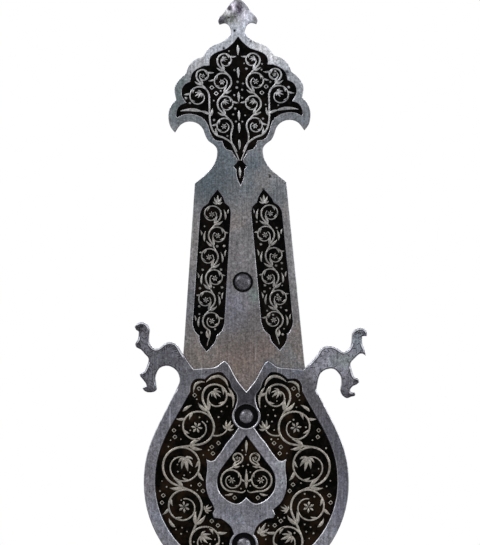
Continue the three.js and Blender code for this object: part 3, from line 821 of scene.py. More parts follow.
def coil_leaves(circle, leaves_at, spin, turn, close, flower, leaf_size):
    """The flower at a coil's heart, and three leaves on its outer turn."""
    x, y, r = circle
    end = leaves_at + spin * turn
    if flower == "rosette":
        parts = rosette((x, y), r * close * 0.7, end)
    else:
        parts = palmette(on_circle((x, y), r * close, end), end + spin * 150, r * close * 1.5)
    for share, bend, size in ((0.2, 1, 0.62), (0.42, 1, 0.55), (0.3, -1, 0.8)):
        at = leaves_at + spin * turn * share
        root = on_circle((x, y), coil_reach(r, close, share), at)
        heading = at + spin * (90 + bend * 29)
        parts.append(leaf(root, heading, leaf_size[0] * size, spin * bend * 40, leaf_size[1] * size ** 0.6))
    return parts


def rinceau(root, circles, spin, comes_in, width, turn, close, flowers, leaf_size):
    """A stem that swings round a row of circles, with a coil and a flower in each.

    Gives the stems and the leaves apart, because a leaf may be shortened at the field's edge.
    """
    stem, stems, leaves = root[:-1], [], []
    for k, circle in enumerate(circles):
        x, y, r = circle
        last = k + 1 == len(circles)
        leaves_at, next_in, heading = (comes_in + spin * 70, 0, 0) if last else crossing(circle, circles[k + 1], spin)
        leaves_at = comes_in + spin * ((spin * (leaves_at - comes_in)) % 360)
        stem += bow((x, y), r, comes_in, leaves_at, width)
        stems.append(coil((x, y), r, leaves_at, spin * turn, close, (width * 0.92, width * 0.6)))
        leaves += coil_leaves(circle, leaves_at, spin, turn, close, flowers[k % len(flowers)], leaf_size)
        if not last:
            start = on_circle((x, y), r, leaves_at)
            finish = on_circle(circles[k + 1][:2], circles[k + 1][2], next_in)
            middle = tuple((a + b) / 2 for a, b in zip(start, finish))
            leaves += [
                leaf(middle, heading + side * 42, leaf_size[0], -side * 38, leaf_size[1]) for side in (-1, 1)
            ]
        comes_in, spin = next_in, -spin
    return [stem, *stems], leaves


# %% Leaves at the edge of a field
def inside(outline, across, up):
    """Whether a place lies in an outline, from how often a line to its left crosses it."""
    hit = False
    for (x1, y1), (x2, y2) in zip(outline, outline[-1:] + outline[:-1]):
        if (y1 > up) != (y2 > up) and across < (x2 - x1) * (up - y1) / (y2 - y1) + x1:
            hit = not hit
    return hit


def edge_distance(outline, across, up):
    """How far a place is from the nearest part of an outline."""
    best = math.inf
    for (x1, y1), (x2, y2) in zip(outline, outline[1:] + outline[:1]):
        dx, dy = x2 - x1, y2 - y1
        share = max(0, min(1, ((across - x1) * dx + (up - y1) * dy) / (dx * dx + dy * dy)))
        best = min(best, math.hypot(across - x1 - share * dx, up - y1 - share * dy))
    return best


def fitting_leaves(outline, leaves, margin):
    """Keeps the leaves that stay clear of the field's edge. One that doesn't is drawn shorter."""
    kept = []
    for stroke in leaves:
        x, y, _ = stroke[0]
        for size in (1, 0.85, 0.7, 0.55):
            trial = [(x + (a - x) * size, y + (u - y) * size, half * (0.5 + 0.5 * size)) for a, u, half in stroke]
            if all(inside(outline, a, u) and edge_distance(outline, a, u) - half > margin for a, u, half in trial):
                kept.append(trial)
                break
    return kept


# %% [markdown]
# ## Composing the fields
#
# The two long fields of the blade carry one running scroll each, and the side windows of the
# body a bolder one with scalloped leaves along the top. The head and the drop are trees that
# are symmetric about the axis, with almond drops between the halves. Only the right half of a
# symmetric field is drawn, and its mirror image follows. Where a field is still empty, pairs
# and threes of pierced lozenges and thin tendrils fill it, as they do on old metalwork.

# %% Long fields of the blade
def blade_field():
    """The right-hand long field: one running scroll in six circles, with loose leaves beside."""
    circles, beside = [], []
    for k in range(6):
        share, side = k / 5, 1 if k % 2 else -1
        axis, up = 31.2 - 8.2 * share, 86 + 96 * share
        circles.append((axis + side * 3.3, up, 8.2))
        beside.append(leaf((axis - side * 8.6, up - 5), 90 + side * 14, 9.5, -side * 42, 2.1))
        beside.append(leaf((axis - side * 11.2, up + 0.5), 90 - side * 10, 6, side * 44, 1.7))
    root = sweep((32.4, 64), 95, on_circle(circles[0][:2], 8.2, -60), 30, (0.8, 1.6))
    stems, leaves = rinceau(root, circles, 1, -60, 1.6, 370, 0.44, ["rosette"], (8.2, 2.6))
    leaves += palmette((20.9, 191.5), 92, 7.5) + beside
    leaves += [leaf((31.6, 71), 60, 7, 50, 2.3), leaf((31.6, 71), 125, 7, -50, 2.3)]
    return stems, leaves


blade_scroll = blade_field()
print("long field:", len(blade_scroll[0]), "stems and", len(blade_scroll[1]), "leaves")

# %% Head of the blade
def head_field():
    """A tree about the axis: two scrolls on each side, and almond drops down the middle."""
    column = [(14, 261, 7.8), (12, 281, 7.6), (15.2, 301, 8.4), (12.2, 320, 7)]
    root = sweep((0.9, 230), 72, on_circle((14, 261), 7.8, 200), 110, (1.0, 1.7))
    stems, leaves = rinceau(root, column, -1, 200, 1.7, 375, 0.44, ["rosette", "palmette"], (7.2, 2.3))
    root = smooth([(2.9, 238, 0.7), (7, 245.4, 0.85), (14, 250.6, 0.95), (20.6, 253.2, 0.95),
                   (24.8, 258.6, 0.9), (26.6, 266, 0.88), (26.9, 276, 0.88), (26.9, 288, 0.88)])
    more, others = rinceau(root, [(36.5, 288, 9.6), (32.2, 306.8, 6)], -1, 180, 1.75, 375, 0.44,
                           ["palmette", "rosette"], (7.6, 2.4))
    stems += more
    leaves += others + [leaf((33.5, 274.6), 20, 20, -36, 3.4), leaf((26.9, 272), 35, 9, -30, 2.8),
                        leaf((26.8, 270), 130, 8, -40, 2.6), leaf((20, 252.8), 60, 7, 40, 2.3)]
    drops = [
        leaf((-0.4, top), -90, length, 0, 2.7)
        for top, length in [(224.1, 9.5), (249, 9), (264, 9), (275, 9), (292, 9), (314, 9.5), (334, 9)]
    ]
    leaves += lozenges((20.6, 290.8), (24.4, 296.2), (42.4, 300.4))
    return stems + mirrored(stems), leaves + mirrored(leaves) + drops


head_tree = head_field()
print("head:", len(head_tree[0]), "stems and", len(head_tree[1]), "leaves")

# %% Windows of the body
def side_window():
    """The right-hand window: a bold scroll in five circles, under scalloped leaves."""
    circles = [(36, 43, 14.5), (56, 74, 16), (57.5, 110.5, 17.5), (44.5, 145.5, 15.5), (27.5, 173, 12)]
    root = sweep((10.5, 22), 0, (36, 28.5), 0, (1.2, 2.4))
    stems, leaves = rinceau(root, circles, 1, -90, 2.4, 385, 0.46, ["palmette", "rosette"], (12, 4.0))
    stems += [
        smooth([(12.2, 163.5, 0.3), (11.6, 171, 1.3), (13.8, 177.5, 1.3), (16.4, 181.5, 0.3)]),
        smooth([(16.4, 182.4, 0.3), (19, 188, 1.4), (24.5, 191.6, 1.6), (31, 190.2, 1.4), (36, 186.6, 0.3)]),
        smooth([(37.2, 186.4, 0.3), (42, 186.4, 1.3), (46.2, 183.4, 1.3), (47.6, 177, 0.3)]),
        sweep((30.5, 138.4), 190, (17, 144), 120, (2.0, 1.4)),
    ]
    leaves += palmette((17, 144), 112, 9.5) + palmette((12, 50), 60, 11) + palmette((37, 71), 150, 7)
    leaves += [leaf((64, 56), 30, 10, 50, 3.4), leaf((46, 30.5), 20, 10, 25, 3.0), leaf((57, 160), 130, 10, 30, 3.4)]
    leaves += lozenges((42.5, 180.5), (46.4, 174.6), (64.2, 137), (65, 143), (25, 131.5), (31, 128), (30, 122.2))
    leaves += lozenges((39, 88.5), (42, 94.2), (25.5, 57.5), (31, 61.5), (74.6, 84.5), (75.8, 78), (18.5, 34), (15, 29))
    return stems, leaves


def drop_window():
    """A small tree about the axis, with a leaf above and one below."""
    root = sweep((0.9, 89), -60, on_circle((13, 98), 9.8, -95), -5, (1.2, 2.0))
    stems, leaves = rinceau(root, [(13, 98, 9.8), (8.2, 118, 4.9)], 1, -95, 2.0, 370, 0.44, ["rosette"], (6.5, 2.5))
    leaves += [leaf((12, 86.2), -30, 9, 40, 2.8)]
    leaves += lozenges((10.4, 82.4))
    middle = [leaf((0, 134), -90, 11, 0, 3.0), leaf((0, 91), 90, 17, 0, 3.6)]
    return stems + mirrored(stems), leaves + mirrored(leaves) + middle


window_scroll, drop_tree = side_window(), drop_window()
for name, (stems, leaves) in (("side window", window_scroll), ("drop", drop_tree)):
    print(name + ":", len(stems), "stems and", len(leaves), "leaves")

# %% [markdown]
# ## Raising the ornament
#
# One Geometry Nodes tree works on every field. It sweeps a six-sided profile along the strokes,
# scaled by their half widths, and lifts its crest to one height, as on a plate whose ground is
# cut away round the drawing. Strokes that cross differ by a hair in height, because two faces
# in one plane would flicker. Then it scatters small punch dots over what is left of the field,
# keeping clear of the strokes and of the field's edge. Last it stands the drawing up, leans it
# with its plate and hands over one plain mesh.

# %% Helpers of the tree
def position(sheet):
    """The coordinates of each point where it is when the tree asks."""
    return sheet.split(sheet.add("GeometryNodeInputPosition").outputs[0])


def remembered(sheet, geometry, label, value):
    """The geometry with a value kept on its points, for when they have moved, and that value."""
    made = sheet.add("GeometryNodeCaptureAttribute", {"Geometry": geometry})
    made.capture_items.new("FLOAT", label)
    sheet.tree.links.new(value, made.inputs[1])
    return made.outputs[0], made.outputs[1]


def moved(sheet, geometry, place):
    """The geometry with each of its points at a new place."""
    return sheet.add("GeometryNodeSetPosition", {"Geometry": geometry, "Position": place}).outputs[0]


def stood_up(sheet, geometry, level):
    """Stands up what is drawn on the sheet, with each point at its level."""
    drawn = position(sheet)
    return moved(sheet, geometry, sheet.joined(drawn[0], level, drawn[1]))


def swept(sheet, strokes, profile, half_width, caps=False):
    """A profile drawn along the strokes, scaled by their half widths."""
    return sheet.add("GeometryNodeCurveToMesh", {
        "Curve": strokes, "Profile Curve": profile, "Scale": half_width, "Fill Caps": caps,
    }).outputs[0]


# %% Ridges of the strokes
profile_sides, sunk_share = 6, -0.2


def ridges(sheet, given, strokes, lift, half_width):
    """A six-sided profile with a flat crest, swept along the strokes."""
    profile = sheet.add("GeometryNodeCurvePrimitiveCircle", {"Resolution": profile_sides, "Radius": 1.0})
    corner = position(sheet)
    rise = sheet.math("MULTIPLY", corner[1], 1 / math.sin(math.radians(360 / profile_sides)))
    profile, risen = remembered(sheet, profile.outputs["Curve"], "Rise", rise)
    wider = sheet.math("MULTIPLY_ADD", sheet.math("ABSOLUTE", rise), 0.5, 1.0)
    profile = moved(sheet, profile, sheet.joined(sheet.math("MULTIPLY", corner[0], wider), rise, 0))
    ridge = swept(sheet, strokes, profile, half_width, caps=True)
    height = sheet.math(
        "MULTIPLY", sheet.math("MAXIMUM", risen, sunk_share), sheet.math("ADD", given["Relief"], lift)
    )
    return stood_up(sheet, ridge, sheet.math("SUBTRACT", given["Foot level"], height))


# %% Punch dots
densest, stud_sides, stud_top = 4e6, 9, 0.62
least_size, most_size = 0.8, 1.12


def punch_dots(sheet, given, strokes, half_width):
    """Small studs scattered over the field, clear of the strokes and of the field's edge."""
    line = sheet.add("GeometryNodeCurvePrimitiveLine", {"Start": (-1, 0, 0), "End": (1, 0, 0)}).outputs[0]
    ribbons = swept(sheet, strokes, line, half_width)
    points = sheet.add("GeometryNodeDistributePointsOnFaces", {
        "Mesh": given["Field"], "Distance Min": given["Dot spacing"], "Density Max": densest, "Seed": given["Seed"],
    }, distribute_method="POISSON").outputs["Points"]
    to_stroke, to_edge = (
        sheet.add("GeometryNodeProximity", {0: target}, target_element=part).outputs["Distance"]
        for target, part in ((ribbons, "FACES"), (given["Field"], "EDGES"))
    )
    crowded = sheet.math("MAXIMUM", sheet.math("LESS_THAN", to_stroke, given["Clear of strokes"]),
                         sheet.math("LESS_THAN", to_edge, given["Clear of edge"]))
    points = sheet.add("GeometryNodeDeleteGeometry", {"Geometry": points, "Selection": crowded}).outputs[0]
    stud = sheet.add("GeometryNodeMeshCone", {
        "Vertices": stud_sides, "Radius Top": stud_top, "Radius Bottom": 1.0, "Depth": 1.0,
    }).outputs["Mesh"]
    uneven = sheet.add("FunctionNodeRandomValue", {2: least_size, 3: most_size, "Seed": given["Seed"]}).outputs[1]
    across = sheet.math("MULTIPLY", uneven, given["Dot radius"])
    studs = sheet.add("GeometryNodeInstanceOnPoints", {
        "Points": points, "Instance": stud, "Scale": sheet.joined(across, across, given["Relief"]),
    }).outputs[0]
    studs = sheet.add("GeometryNodeRealizeInstances", {0: studs}).outputs[0]
    return stood_up(sheet, studs, sheet.math("SUBTRACT", given["Foot level"], position(sheet)[2]))


# %% The ornament tree
def ornament_tree():
    """Ridges and dots on one field, stood up and leaned with its plate."""
    tree = bpy.data.node_groups.new("raised ornament", "GeometryNodeTree")
    inputs = {
        "Field": "Geometry", "Relief": "Float", "Foot level": "Float", "Dot radius": "Float",
        "Dot spacing": "Float", "Clear of strokes": "Float", "Clear of edge": "Float", "Place": "Vector",
        "Lean": "Float", "Seed": "Int", "Finish": "Material", "Strokes": "Object",
    }
    for label, kind in inputs.items():
        tree.interface.new_socket(label, in_out="INPUT", socket_type="NodeSocket" + kind)
    tree.interface.new_socket("Ornament", in_out="OUTPUT", socket_type="NodeSocketGeometry")
    sheet = Sheet(tree)
    given = sheet.add("NodeGroupInput").outputs

    strokes = sheet.add("GeometryNodeObjectInfo", {"Object": given["Strokes"]}).outputs["Geometry"]
    strokes = sheet.add("GeometryNodeSetCurveNormal", {"Curve": strokes}, mode="Z_UP").outputs[0]
    strokes, lift = remembered(sheet, strokes, "Lift", position(sheet)[2])
    half_width = sheet.add("GeometryNodeInputRadius").outputs[0]
    both = sheet.add("GeometryNodeJoinGeometry")
    sheet.tree.links.new(ridges(sheet, given, strokes, lift, half_width), both.inputs[0])
    sheet.tree.links.new(punch_dots(sheet, given, strokes, half_width), both.inputs[0])
    turned = sheet.add("FunctionNodeEulerToRotation", {0: sheet.joined(0, given["Lean"], 0)}).outputs[0]
    placed = sheet.add("GeometryNodeTransform", {
        "Geometry": both.outputs[0], "Translation": given["Place"], "Rotation": turned,
    }).outputs[0]
    placed = sheet.add("GeometryNodeRealizeInstances", {0: placed}).outputs[0]
    finished = sheet.add("GeometryNodeSetMaterial", {"Geometry": placed, "Material": given["Finish"]}).outputs[0]
    sheet.add("NodeGroupOutput", {0: finished})
    return tree


raised_ornament = ornament_tree()
print("ornament tree:", len(raised_ornament.nodes), "nodes")

# %% Growing the ornament on a field
crossing_lift, lifts = 0.008 * mm, 7


def stroke_curves(name, strokes):
    """The strokes as a curve object on the drawing sheet, each point with its half width."""
    curves = bpy.data.curves.new(name, "CURVE")
    curves.dimensions, curves.twist_mode = "3D", "Z_UP"
    for k, stroke in enumerate(strokes):
        spline = curves.splines.new("POLY")
        spline.points.add(len(stroke) - 1)
        for point, (across, up, half) in zip(spline.points, stroke):
            point.co = (across * mm, up * mm, k % lifts * crossing_lift, 1)
            point.radius = half * mm
    return add_object(name, curves)


def grow_on(name, field, strokes, sizes, seed, slot, finish, place, lean, foot):
    """Raises strokes and dots on a flat field and leaves a plain mesh.

    The sizes are the relief, the dots' radius and spacing, and how far the dots keep off the
    strokes and off the field's edge.
    """
    relief, dot_radius, dot_spacing, stroke_gap, edge_gap = sizes
    drawing = stroke_curves(name + " strokes", strokes)
    holder = add_object(name + " field", field)
    modifier = holder.modifiers.new("ornament", "NODES")
    modifier.node_group = raised_ornament
    values = {
        "Relief": relief, "Foot level": foot, "Dot radius": dot_radius, "Dot spacing": dot_spacing,
        "Clear of strokes": stroke_gap + dot_radius, "Clear of edge": edge_gap + dot_radius,
        "Place": place.to_translation(), "Lean": lean, "Seed": seed, "Finish": finish, "Strokes": drawing,
    }
    for socket in raised_ornament.interface.items_tree:
        if socket.in_out == "INPUT" and socket.name in values:
            modifier[socket.identifier] = values[socket.name]
    bpy.context.view_layer.update()
    mesh = bpy.data.meshes.new_from_object(holder.evaluated_get(bpy.context.evaluated_depsgraph_get()))
    mesh.name = name
    bpy.data.objects.remove(holder)
    bpy.data.objects.remove(drawing)
    shape = welded(mesh, 2 * weld)
    bmesh.ops.recalc_face_normals(shape, faces=shape.faces)
    shape.to_mesh(mesh)
    shape.free()
    print(name, len(strokes), "strokes with", len(mesh.polygons), "faces")
    finish_piece(name, mesh, slot, [finish])


# %% Scrolls of the six fields
def faces_front(face):
    """Whether a face looks forward."""
    return face.normal.y < -0.9


def field_drawing(node, place):
    """The flat front of a field, laid down on the drawing sheet as one face."""
    shape = welded(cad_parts[node].data, weld)
    others = [face for face in shape.faces if not faces_front(face)]
    bmesh.ops.delete(shape, geom=others, context="FACES")
    bmesh.ops.dissolve_faces(shape, faces=shape.faces[:])
    back = place.inverted()
    for corner in shape.verts:
        drawn = back @ corner.co
        corner.co = (drawn.x, drawn.z, 0)
    return to_mesh(shape, node + " drawing")


def grow_ornament(name, node, drawn, sizes, seed, plate):
    """Raises a composition on the front of one inlay or panel."""
    stems, leaves = drawn
    field = field_drawing(node, plate["place"])
    outline = [tuple(value / mm for value in field.vertices[k].co[:2]) for k in field.polygons[0].vertices]
    strokes = stems + fitting_leaves(outline, leaves, 0.5)
    grow_on(name, field, strokes, sizes, seed, **plate)


def both_mirrored(drawn):
    """The stems and leaves of a composition on the other side of the axis."""
    stems, leaves = drawn
    return mirrored(stems), mirrored(leaves)


blade_relief = (inlay_front - blade_front, 1.1 * mm, 5.0 * mm, 0.5 * mm, 0.8 * mm)
body_relief = (0.8 * mm, 1.2 * mm, 5.6 * mm, 0.8 * mm, 1.2 * mm)
drop_relief = (0.8 * mm, 1.1 * mm, 4.8 * mm, 0.8 * mm, 1.1 * mm)
blade_field_plate = dict(
    slot="blade_steel", finish=silver_relief, place=blade_place, lean=blade_lean, foot=inlay_front
)
body_field_plate = dict(slot="frame_steel", finish=beige_relief, place=body_place, lean=0.0, foot=panel_front)
for name, node, drawn, sizes, seed, plate in (
    ("scrolls_head", "inlay_head", head_tree, blade_relief, 3, blade_field_plate),
    ("scrolls_blade_left", "inlay_blade_left", both_mirrored(blade_scroll), blade_relief, 5, blade_field_plate),
    ("scrolls_blade_right", "inlay_blade_right", blade_scroll, blade_relief, 8, blade_field_plate),
    ("scrolls_left", "panel_left", both_mirrored(window_scroll), body_relief, 11, body_field_plate),
    ("scrolls_right", "panel_right", window_scroll, body_relief, 13, body_field_plate),
    ("scrolls_drop", "panel_drop", drop_tree, drop_relief, 17, body_field_plate),
):
    grow_ornament(name, node, drawn, sizes, seed, plate)

# %% [markdown]
# ## Chasing on the dragons
#
# The two dragons are cut out of the same plate as the pear. The smith gave them life with a
# chasing tool: a dark line and short cuts follow the outline, and brow, eye and mouth are marked.
# Along the edges that face up runs a bright bead, a painted highlight, and along the edges that
# face down a dark line, painted shade. The lines along the edges follow the plate's own outline,
# so they are not drawn by hand. The outline is walked round in even steps, moved inwards, and cut
# into runs by the way the edge faces. The tree of the scrolls then gives the runs their low relief.

# %% Walking round an outline
step_length = 1.3


def front_outline(node):
    """The outer outline of a plate's front in even steps, in millimetres, drawn upright."""
    shape, front = merged_copy(node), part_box(node)[0].y
    rims = [rim for rim in shape.edges if sum(faces_front(face) for face in rim.link_faces) == 1]
    rims = [rim for rim in rims if all(abs(corner.co.y - front) < weld for corner in rim.verts)]
    beside = {}
    for rim in rims:
        for corner in rim.verts:
            beside.setdefault(corner, []).append(rim.other_vert(corner))
    here = max(beside, key=lambda corner: corner.co.x)
    walked, before = [here], None
    while True:
        ahead = next(corner for corner in beside[here] if corner != before)
        if ahead == walked[0]:
            break
        walked.append(ahead)
        before, here = here, ahead
    corners = [(corner.co.x / mm, (corner.co.z - body_foot) / mm) for corner in walked]
    shape.free()
    steps = []
    for first, second in zip(corners, corners[1:] + corners[:1]):
        count = max(1, round(math.dist(first, second) / step_length))
        steps += [tuple(a + (b - a) * k / count for a, b in zip(first, second)) for k in range(count)]
    turning = sum(a[0] * b[1] - b[0] * a[1] for a, b in zip(steps, steps[1:] + steps[:1]))
    return steps if turning > 0 else steps[::-1]


def inward(outline):
    """At each step the direction into the plate, averaged over its neighbours."""
    ways = []
    for k in range(len(outline)):
        before, after = outline[k - 2], outline[(k + 2) % len(outline)]
        along, up = after[0] - before[0], after[1] - before[1]
        length = math.hypot(along, up) or 1.0
        ways.append((-up / length, along / length))
    return ways


pear_outline = front_outline("body_frame")
pear_inward = inward(pear_outline)
print("outline of the pear:", len(pear_outline), "steps of", step_length, "mm")

# %% Runs along the dragons
left, right = -1, 1
# only the outline's steps on one dragon, closed across its root
dragon_edges = {
    side: [spot for spot in pear_outline if side * spot[0] > 45 and spot[1] > 160] for side in (left, right)
}


def on_dragon(spot, side):
    """Whether a step of the outline belongs to the dragon on that side, clear of its root."""
    aside, up = side * spot[0], spot[1]
    return aside > 55 and up > (176 if side == left else 170) and (aside > 62 or up > 200)


def moved_in(spot, way, depth):
    """A step of the outline moved into the plate."""
    return spot[0] + way[0] * depth, spot[1] + way[1] * depth


def runs(side, depth, wanted):
    """Lines at a depth inside the outline of one dragon, cut where the edge isn't wanted."""
    found, run, shortest = [], [], 4
    for spot, way in zip(pear_outline, pear_inward):
        inner = moved_in(spot, way, depth)
        if on_dragon(spot, side) and wanted(way) and edge_distance(dragon_edges[side], *inner) > depth * 0.86:
            run.append(inner)
        elif run:
            found.append(run)
            run = []
    return [run for run in found if len(run) >= shortest]


def tapered(depth, wanted, half):
    """The runs of both dragons as strokes, with their ends drawn out thin."""
    strokes = []
    for side in (left, right):
        for run in runs(side, depth, wanted):
            last = len(run) - 1
            strokes.append([(*spot, half * min(1.0, 0.3 + 0.5 * min(k, last - k))) for k, spot in enumerate(run)])
    return strokes


def looks_up(way):
    """Whether an edge faces up, from its direction into the plate."""
    return way[1] < -0.12


def looks_down(way):
    """Whether an edge faces down or nearly sideways."""
    return way[1] > -0.05


def cuts(side, depth, length, spacing, wanted, slant):
    """Short cuts that lean away from the outline."""
    made, width, clear = [], 0.62, 1.0
    for k, (spot, way) in enumerate(zip(pear_outline, pear_inward)):
        if k % spacing or not on_dragon(spot, side) or not wanted(way):
            continue
        heading = math.degrees(math.atan2(way[1], way[0])) + slant
        cut = leaf(moved_in(spot, way, depth), heading, length, 0, width, 0.3)
        if all(edge_distance(dragon_edges[side], a, u) > clear for a, u, _ in cut[::4]):
            made.append(cut)
    return made


# the beads are a painted highlight: bright, and only on the edges that face up
highlight_beads = tapered(1.25, looks_up, 0.52)
# the line along the edges that face down is painted shade; the line deeper inside the upper edges, the cuts and the
# face are chasing
chasing_and_shade_lines = tapered(2.25, looks_up, 0.26) + tapered(0.95, looks_down, 0.3)
for side, above, below in ((left, 2, 3), (right, 5, 4)):
    chasing_and_shade_lines += cuts(side, 2.9, 3.2, above, looks_up, 38 * side)
    chasing_and_shade_lines += cuts(side, 1.8, 2.6, below, looks_down, -38 * side)
print("highlight_beads", len(highlight_beads), "dark lines", len(chasing_and_shade_lines))

# %% Brow, eye and mouth
def dragon_face(eye, brow, mouth):
    """A ring for the eye with a dot, an arched brow and a line in from the mouth."""
    ring = [(*on_circle(eye, 0.95, 30 * k), 0.2) for k in range(13)]
    dot = [(eye[0] - 0.2, eye[1], 0.24), (eye[0] + 0.2, eye[1], 0.24)]
    return [ring, dot, smooth(brow, 4), smooth(mouth, 4)]


chasing_and_shade_lines += dragon_face(
    (-93.6, 236.6), [(-97.4, 237.4, 0.2), (-95.2, 238.4, 0.4), (-92.4, 238.6, 0.4), (-90.2, 236.8, 0.2)],
    [(-97.6, 232.9, 0.4), (-95.0, 233.2, 0.35), (-92.6, 232.4, 0.3), (-90.8, 230.4, 0.2)],
)
chasing_and_shade_lines += dragon_face(
    (101.6, 230.6), [(105.6, 231.9, 0.15), (103.4, 232.9, 0.26), (100.4, 232.5, 0.26), (98.4, 230.2, 0.15)],
    [(105.4, 228.0, 0.3), (103.4, 227.7, 0.26), (101.4, 226.8, 0.2), (100.0, 225.4, 0.15)],
)


# %% Laying the lines on the plate
no_dots = (0.5 * mm, 5 * mm, 0.0, 0.0)


def lay_lines(name, strokes, finish, relief):
    """The scroll tree on an empty field: only the strokes come up, with no dots."""
    bare = bpy.data.meshes.new(name + " bare")
    grow_on(name, bare, strokes, (relief, *no_dots), 1, slot="frame_steel", finish=finish, place=body_place,
            lean=0.0, foot=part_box("body_frame")[0].y)


# black for the chased lines and for the painted shade along the edges that face down
chased_and_shade_black = blackened("chased black and painted shade", (34, 34, 38), (44, 42, 42), 0.5)
# bright steel for the painted highlight beads
highlight_bead_steel = steel("painted highlight bead", on_body, [(0, (186, 187, 196))], warm=(146, 142, 146), cool=(150, 156, 168),
                  rough=0.34, cloud=0.4, mottle=0.2, hair=0.2, flecks=0.2, pits=0.05)
lay_lines("dragon_beads", highlight_beads, highlight_bead_steel, 0.14 * mm)
lay_lines("dragon_lines", chasing_and_shade_lines, chased_and_shade_black, 0.05 * mm)

# %% [markdown]
# ## Rivets
#
# Three rivets hold blade, body and spine together. Their heads were closed with a hammer, so
# each dome is a patchwork of small flats. The rivet is turned from a profile, and then every
# point of the dome that stands out over one of a few random planes is pushed down onto it. A
# blackened washer lies under each head, and a rove under the peened end at the back.

# %% Turning a profile
on_axis, round_turn = 1e-7, math.radians(40)


def turned_piece(profile, steps, axis, centre):
    """A closed shape from [radius, distance along the axis] points, turned round Y or Z."""
    shape = bmesh.new()
    rings = []
    for radius, reach in profile:
        turns = [2 * math.pi * k / steps for k in range(1 if radius < on_axis else steps)]
        spots = [(radius * math.cos(turn), radius * math.sin(turn), reach) for turn in turns]
        if axis == "Y":
            spots = [(a, c, b) for a, b, c in spots]
        rings.append([shape.verts.new(Vector(centre) + Vector(spot)) for spot in spots])
    for first, second in zip(rings, rings[1:] if len(rings[0]) == 1 else rings[1:] + rings[:1]):
        for k in range(steps):
            corners = [first[k % len(first)], first[(k + 1) % len(first)],
                       second[(k + 1) % len(second)], second[k % len(second)]]
            shape.faces.new(list(dict.fromkeys(corners)))
    bmesh.ops.recalc_face_normals(shape, faces=shape.faces)
    for face in shape.faces:
        face.smooth = True
    for rim in shape.edges:
        rim.smooth = rim.calc_face_angle(0) < round_turn
    return shape


def dome_profile(radius, top, foot, steps=9):
    """From the pole at the top down to the rim at the foot."""
    angles = [math.pi / 2 * k / steps for k in range(steps + 1)]
    return [(radius * math.sin(a), foot + (top - foot) * math.cos(a)) for a in angles]


def round_box(node):
    """The box of a round piece, with its centre on the plates' level and its radius."""
    low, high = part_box(node)
    return low, high, Vector(((low.x + high.x) / 2, 0, (low.z + high.z) / 2)), (high.x - low.x) / 2


# %% Hammered rivets
places = ("blade", "upper", "lower")
shank_radius, tail_radius = 2.8 * mm, 4.4 * mm
rivet_steps, blows, first_seed = 40, 13, 21


def hammered(shape, centre, radius, foot, top, seed):
    """Flattens the dome between foot and top under a number of blows."""
    dice = random.Random(seed)
    depth = foot - top
    flats = []
    for _ in range(blows):
        around, over = dice.uniform(0, 2 * math.pi), math.radians(dice.uniform(4, 62))
        way = Vector((math.sin(over) * math.cos(around), math.cos(over), math.sin(over) * math.sin(around)))
        flats.append((way, dice.uniform(0.9, 0.965)))
    for corner in shape.verts:
        if corner.co.y < foot - weld:
            at = Vector(((corner.co.x - centre.x) / radius, (foot - corner.co.y) / depth,
                         (corner.co.z - centre.z) / radius))
            for way, reach in flats:
                at -= way * max(0.0, at.dot(way) - reach)
            corner.co = (centre.x + at.x * radius, foot - max(0.0, at.y) * depth, centre.z + at.z * radius)


def rivet(place, seed):
    """A hammered head at the front, a shank and a small peened dome at the back."""
    node = "rivet_" + place
    low, high, centre, radius = round_box(node)
    head_foot, tail_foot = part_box("washer_" + place)[0].y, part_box("rove_" + place)[1].y
    profile = dome_profile(radius, low.y, head_foot) + [(shank_radius, head_foot), (shank_radius, tail_foot)]
    profile += dome_profile(tail_radius, high.y, tail_foot)[::-1]
    shape = turned_piece(profile, rivet_steps, "Y", centre)
    hammered(shape, centre, radius, head_foot, low.y, seed)
    finish_piece("hammered_" + node, to_mesh(shape, node), "rivet_steel", [rivet_steel], node)
    print(node, "head", round(radius / mm, 1), "mm in radius")


for seed, place in enumerate(places, first_seed):
    rivet(place, seed)

# %% Washers and roves
hole_radius, rounding, dish = 3.1 * mm, 0.4 * mm, 0.15 * mm
ring_steps = 48
washer_black = blackened("washer black", (9, 9, 12), (20, 18, 17), 0.6)


def ring_piece(name, node, slot, material):
    """A flat ring with its outer edge rounded towards the front and a slightly dished face."""
    low, high, centre, radius = round_box(node)
    corner = [
        (radius - rounding * (1 - math.sin(a)), low.y + rounding * (1 - math.cos(a)))
        for a in (math.pi / 2 * k / 4 for k in range(5))
    ]
    profile = [(hole_radius, high.y), (hole_radius, low.y + dish), *corner, (radius, high.y)]
    finish_piece(name, to_mesh(turned_piece(profile, ring_steps, "Y", centre), name), slot, [material], node)
    print(name, round(radius / mm, 1), "mm in radius")


for place in places:
    ring_piece("dark_washer_" + place, "washer_" + place, "washer_black", washer_black)
    ring_piece("back_rove_" + place, "rove_" + place, "plate_steel", plate_steel)

# %% [markdown]
# ## Collars, knop and socket
#
# Below the pear, which the photograph doesn't show, the standard ends in turned fittings. They
# are spun finer than the CAD needs, and the knop gets the three cut lines that a lathe tool
# leaves. The socket has a pin hole and a nail hole bored through, so it is kept as the CAD
# has it, with its triangles joined, its edges broken and its wall shaded round.

# %% Turned fittings
sleeve_radius = 8.55 * mm
fitting_steps = 96


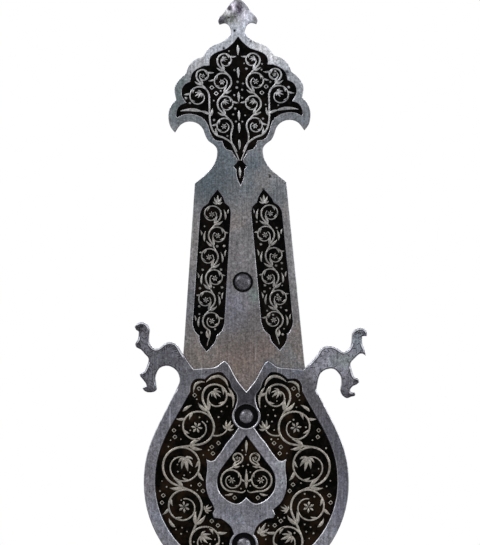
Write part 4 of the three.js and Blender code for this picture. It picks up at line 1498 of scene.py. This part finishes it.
def turned_fitting(name, node, outside):
    """A fitting bored for the tang, with an outside profile of [radius, height] shares."""
    low, high, _, radius = round_box(node)
    tall = high.z - low.z
    profile = [(sleeve_radius, low.z), *((radius * r, low.z + tall * h) for r, h in outside), (sleeve_radius, high.z)]
    shape = turned_piece(profile, fitting_steps, "Z", (0, 0, 0))
    finish_piece(name, to_mesh(shape, name), "fitting_steel", [fitting_steel], node)
    print(name, "radius", round(radius / mm, 2), "mm")


bead = [(0.905, 0.0), (0.955, 0.06)] + [
    (0.955 + 0.045 * math.sin(math.pi * t), 0.16 + 0.68 * t) for t in (k / 8 for k in range(9))
] + [(0.955, 0.94), (0.905, 1.0)]
turned_fitting("turned_collar_lower", "collar_lower", bead)
turned_fitting("turned_collar_upper", "collar_upper", bead)

# %% Knop
knop_ends = 13 / 20.5
line_depth, line_half = 0.035, 0.018


def knop_radius(height):
    """The round belly between narrow ends."""
    return knop_ends + (1 - knop_ends) * math.sin(math.pi * height) ** 0.75


knop = [(knop_radius(k / 40), k / 40) for k in range(41)]
for cut in (0.36, 0.5, 0.64):
    # a shallow V left by the lathe tool
    radius = knop_radius(cut)
    knop = [point for point in knop if abs(point[1] - cut) > 0.022]
    knop += [(radius, cut - line_half), (radius - line_depth, cut), (radius, cut + line_half)]
turned_fitting("turned_knop", "knop", sorted(knop, key=lambda point: point[1]))

# %% Socket, rim band and pin
for name, node in (("bored_socket", "socket"), ("rim_ring", "rim_band")):
    dressed_plate(name, node, "fitting_steel", [fitting_steel, rubbed_steel_lit_above], 0.35 * mm)
low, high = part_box("tang_pin")
pin_radius = (high.x - low.x) / 2
pin_steps, pin_end = 32, 1.2 * mm
pin_profile = dome_profile(pin_radius, low.y, low.y + pin_end, 6)
pin_profile += dome_profile(pin_radius, high.y, high.y - pin_end, 6)[::-1]
pin = turned_piece(pin_profile, pin_steps, "Y", (0, 0, (low.z + high.z) / 2))
finish_piece("cross_pin", to_mesh(pin, "cross pin"), "rivet_steel", [rivet_steel], "tang_pin")
print("cross_pin", round((high.y - low.y) / mm, 1), "mm long")
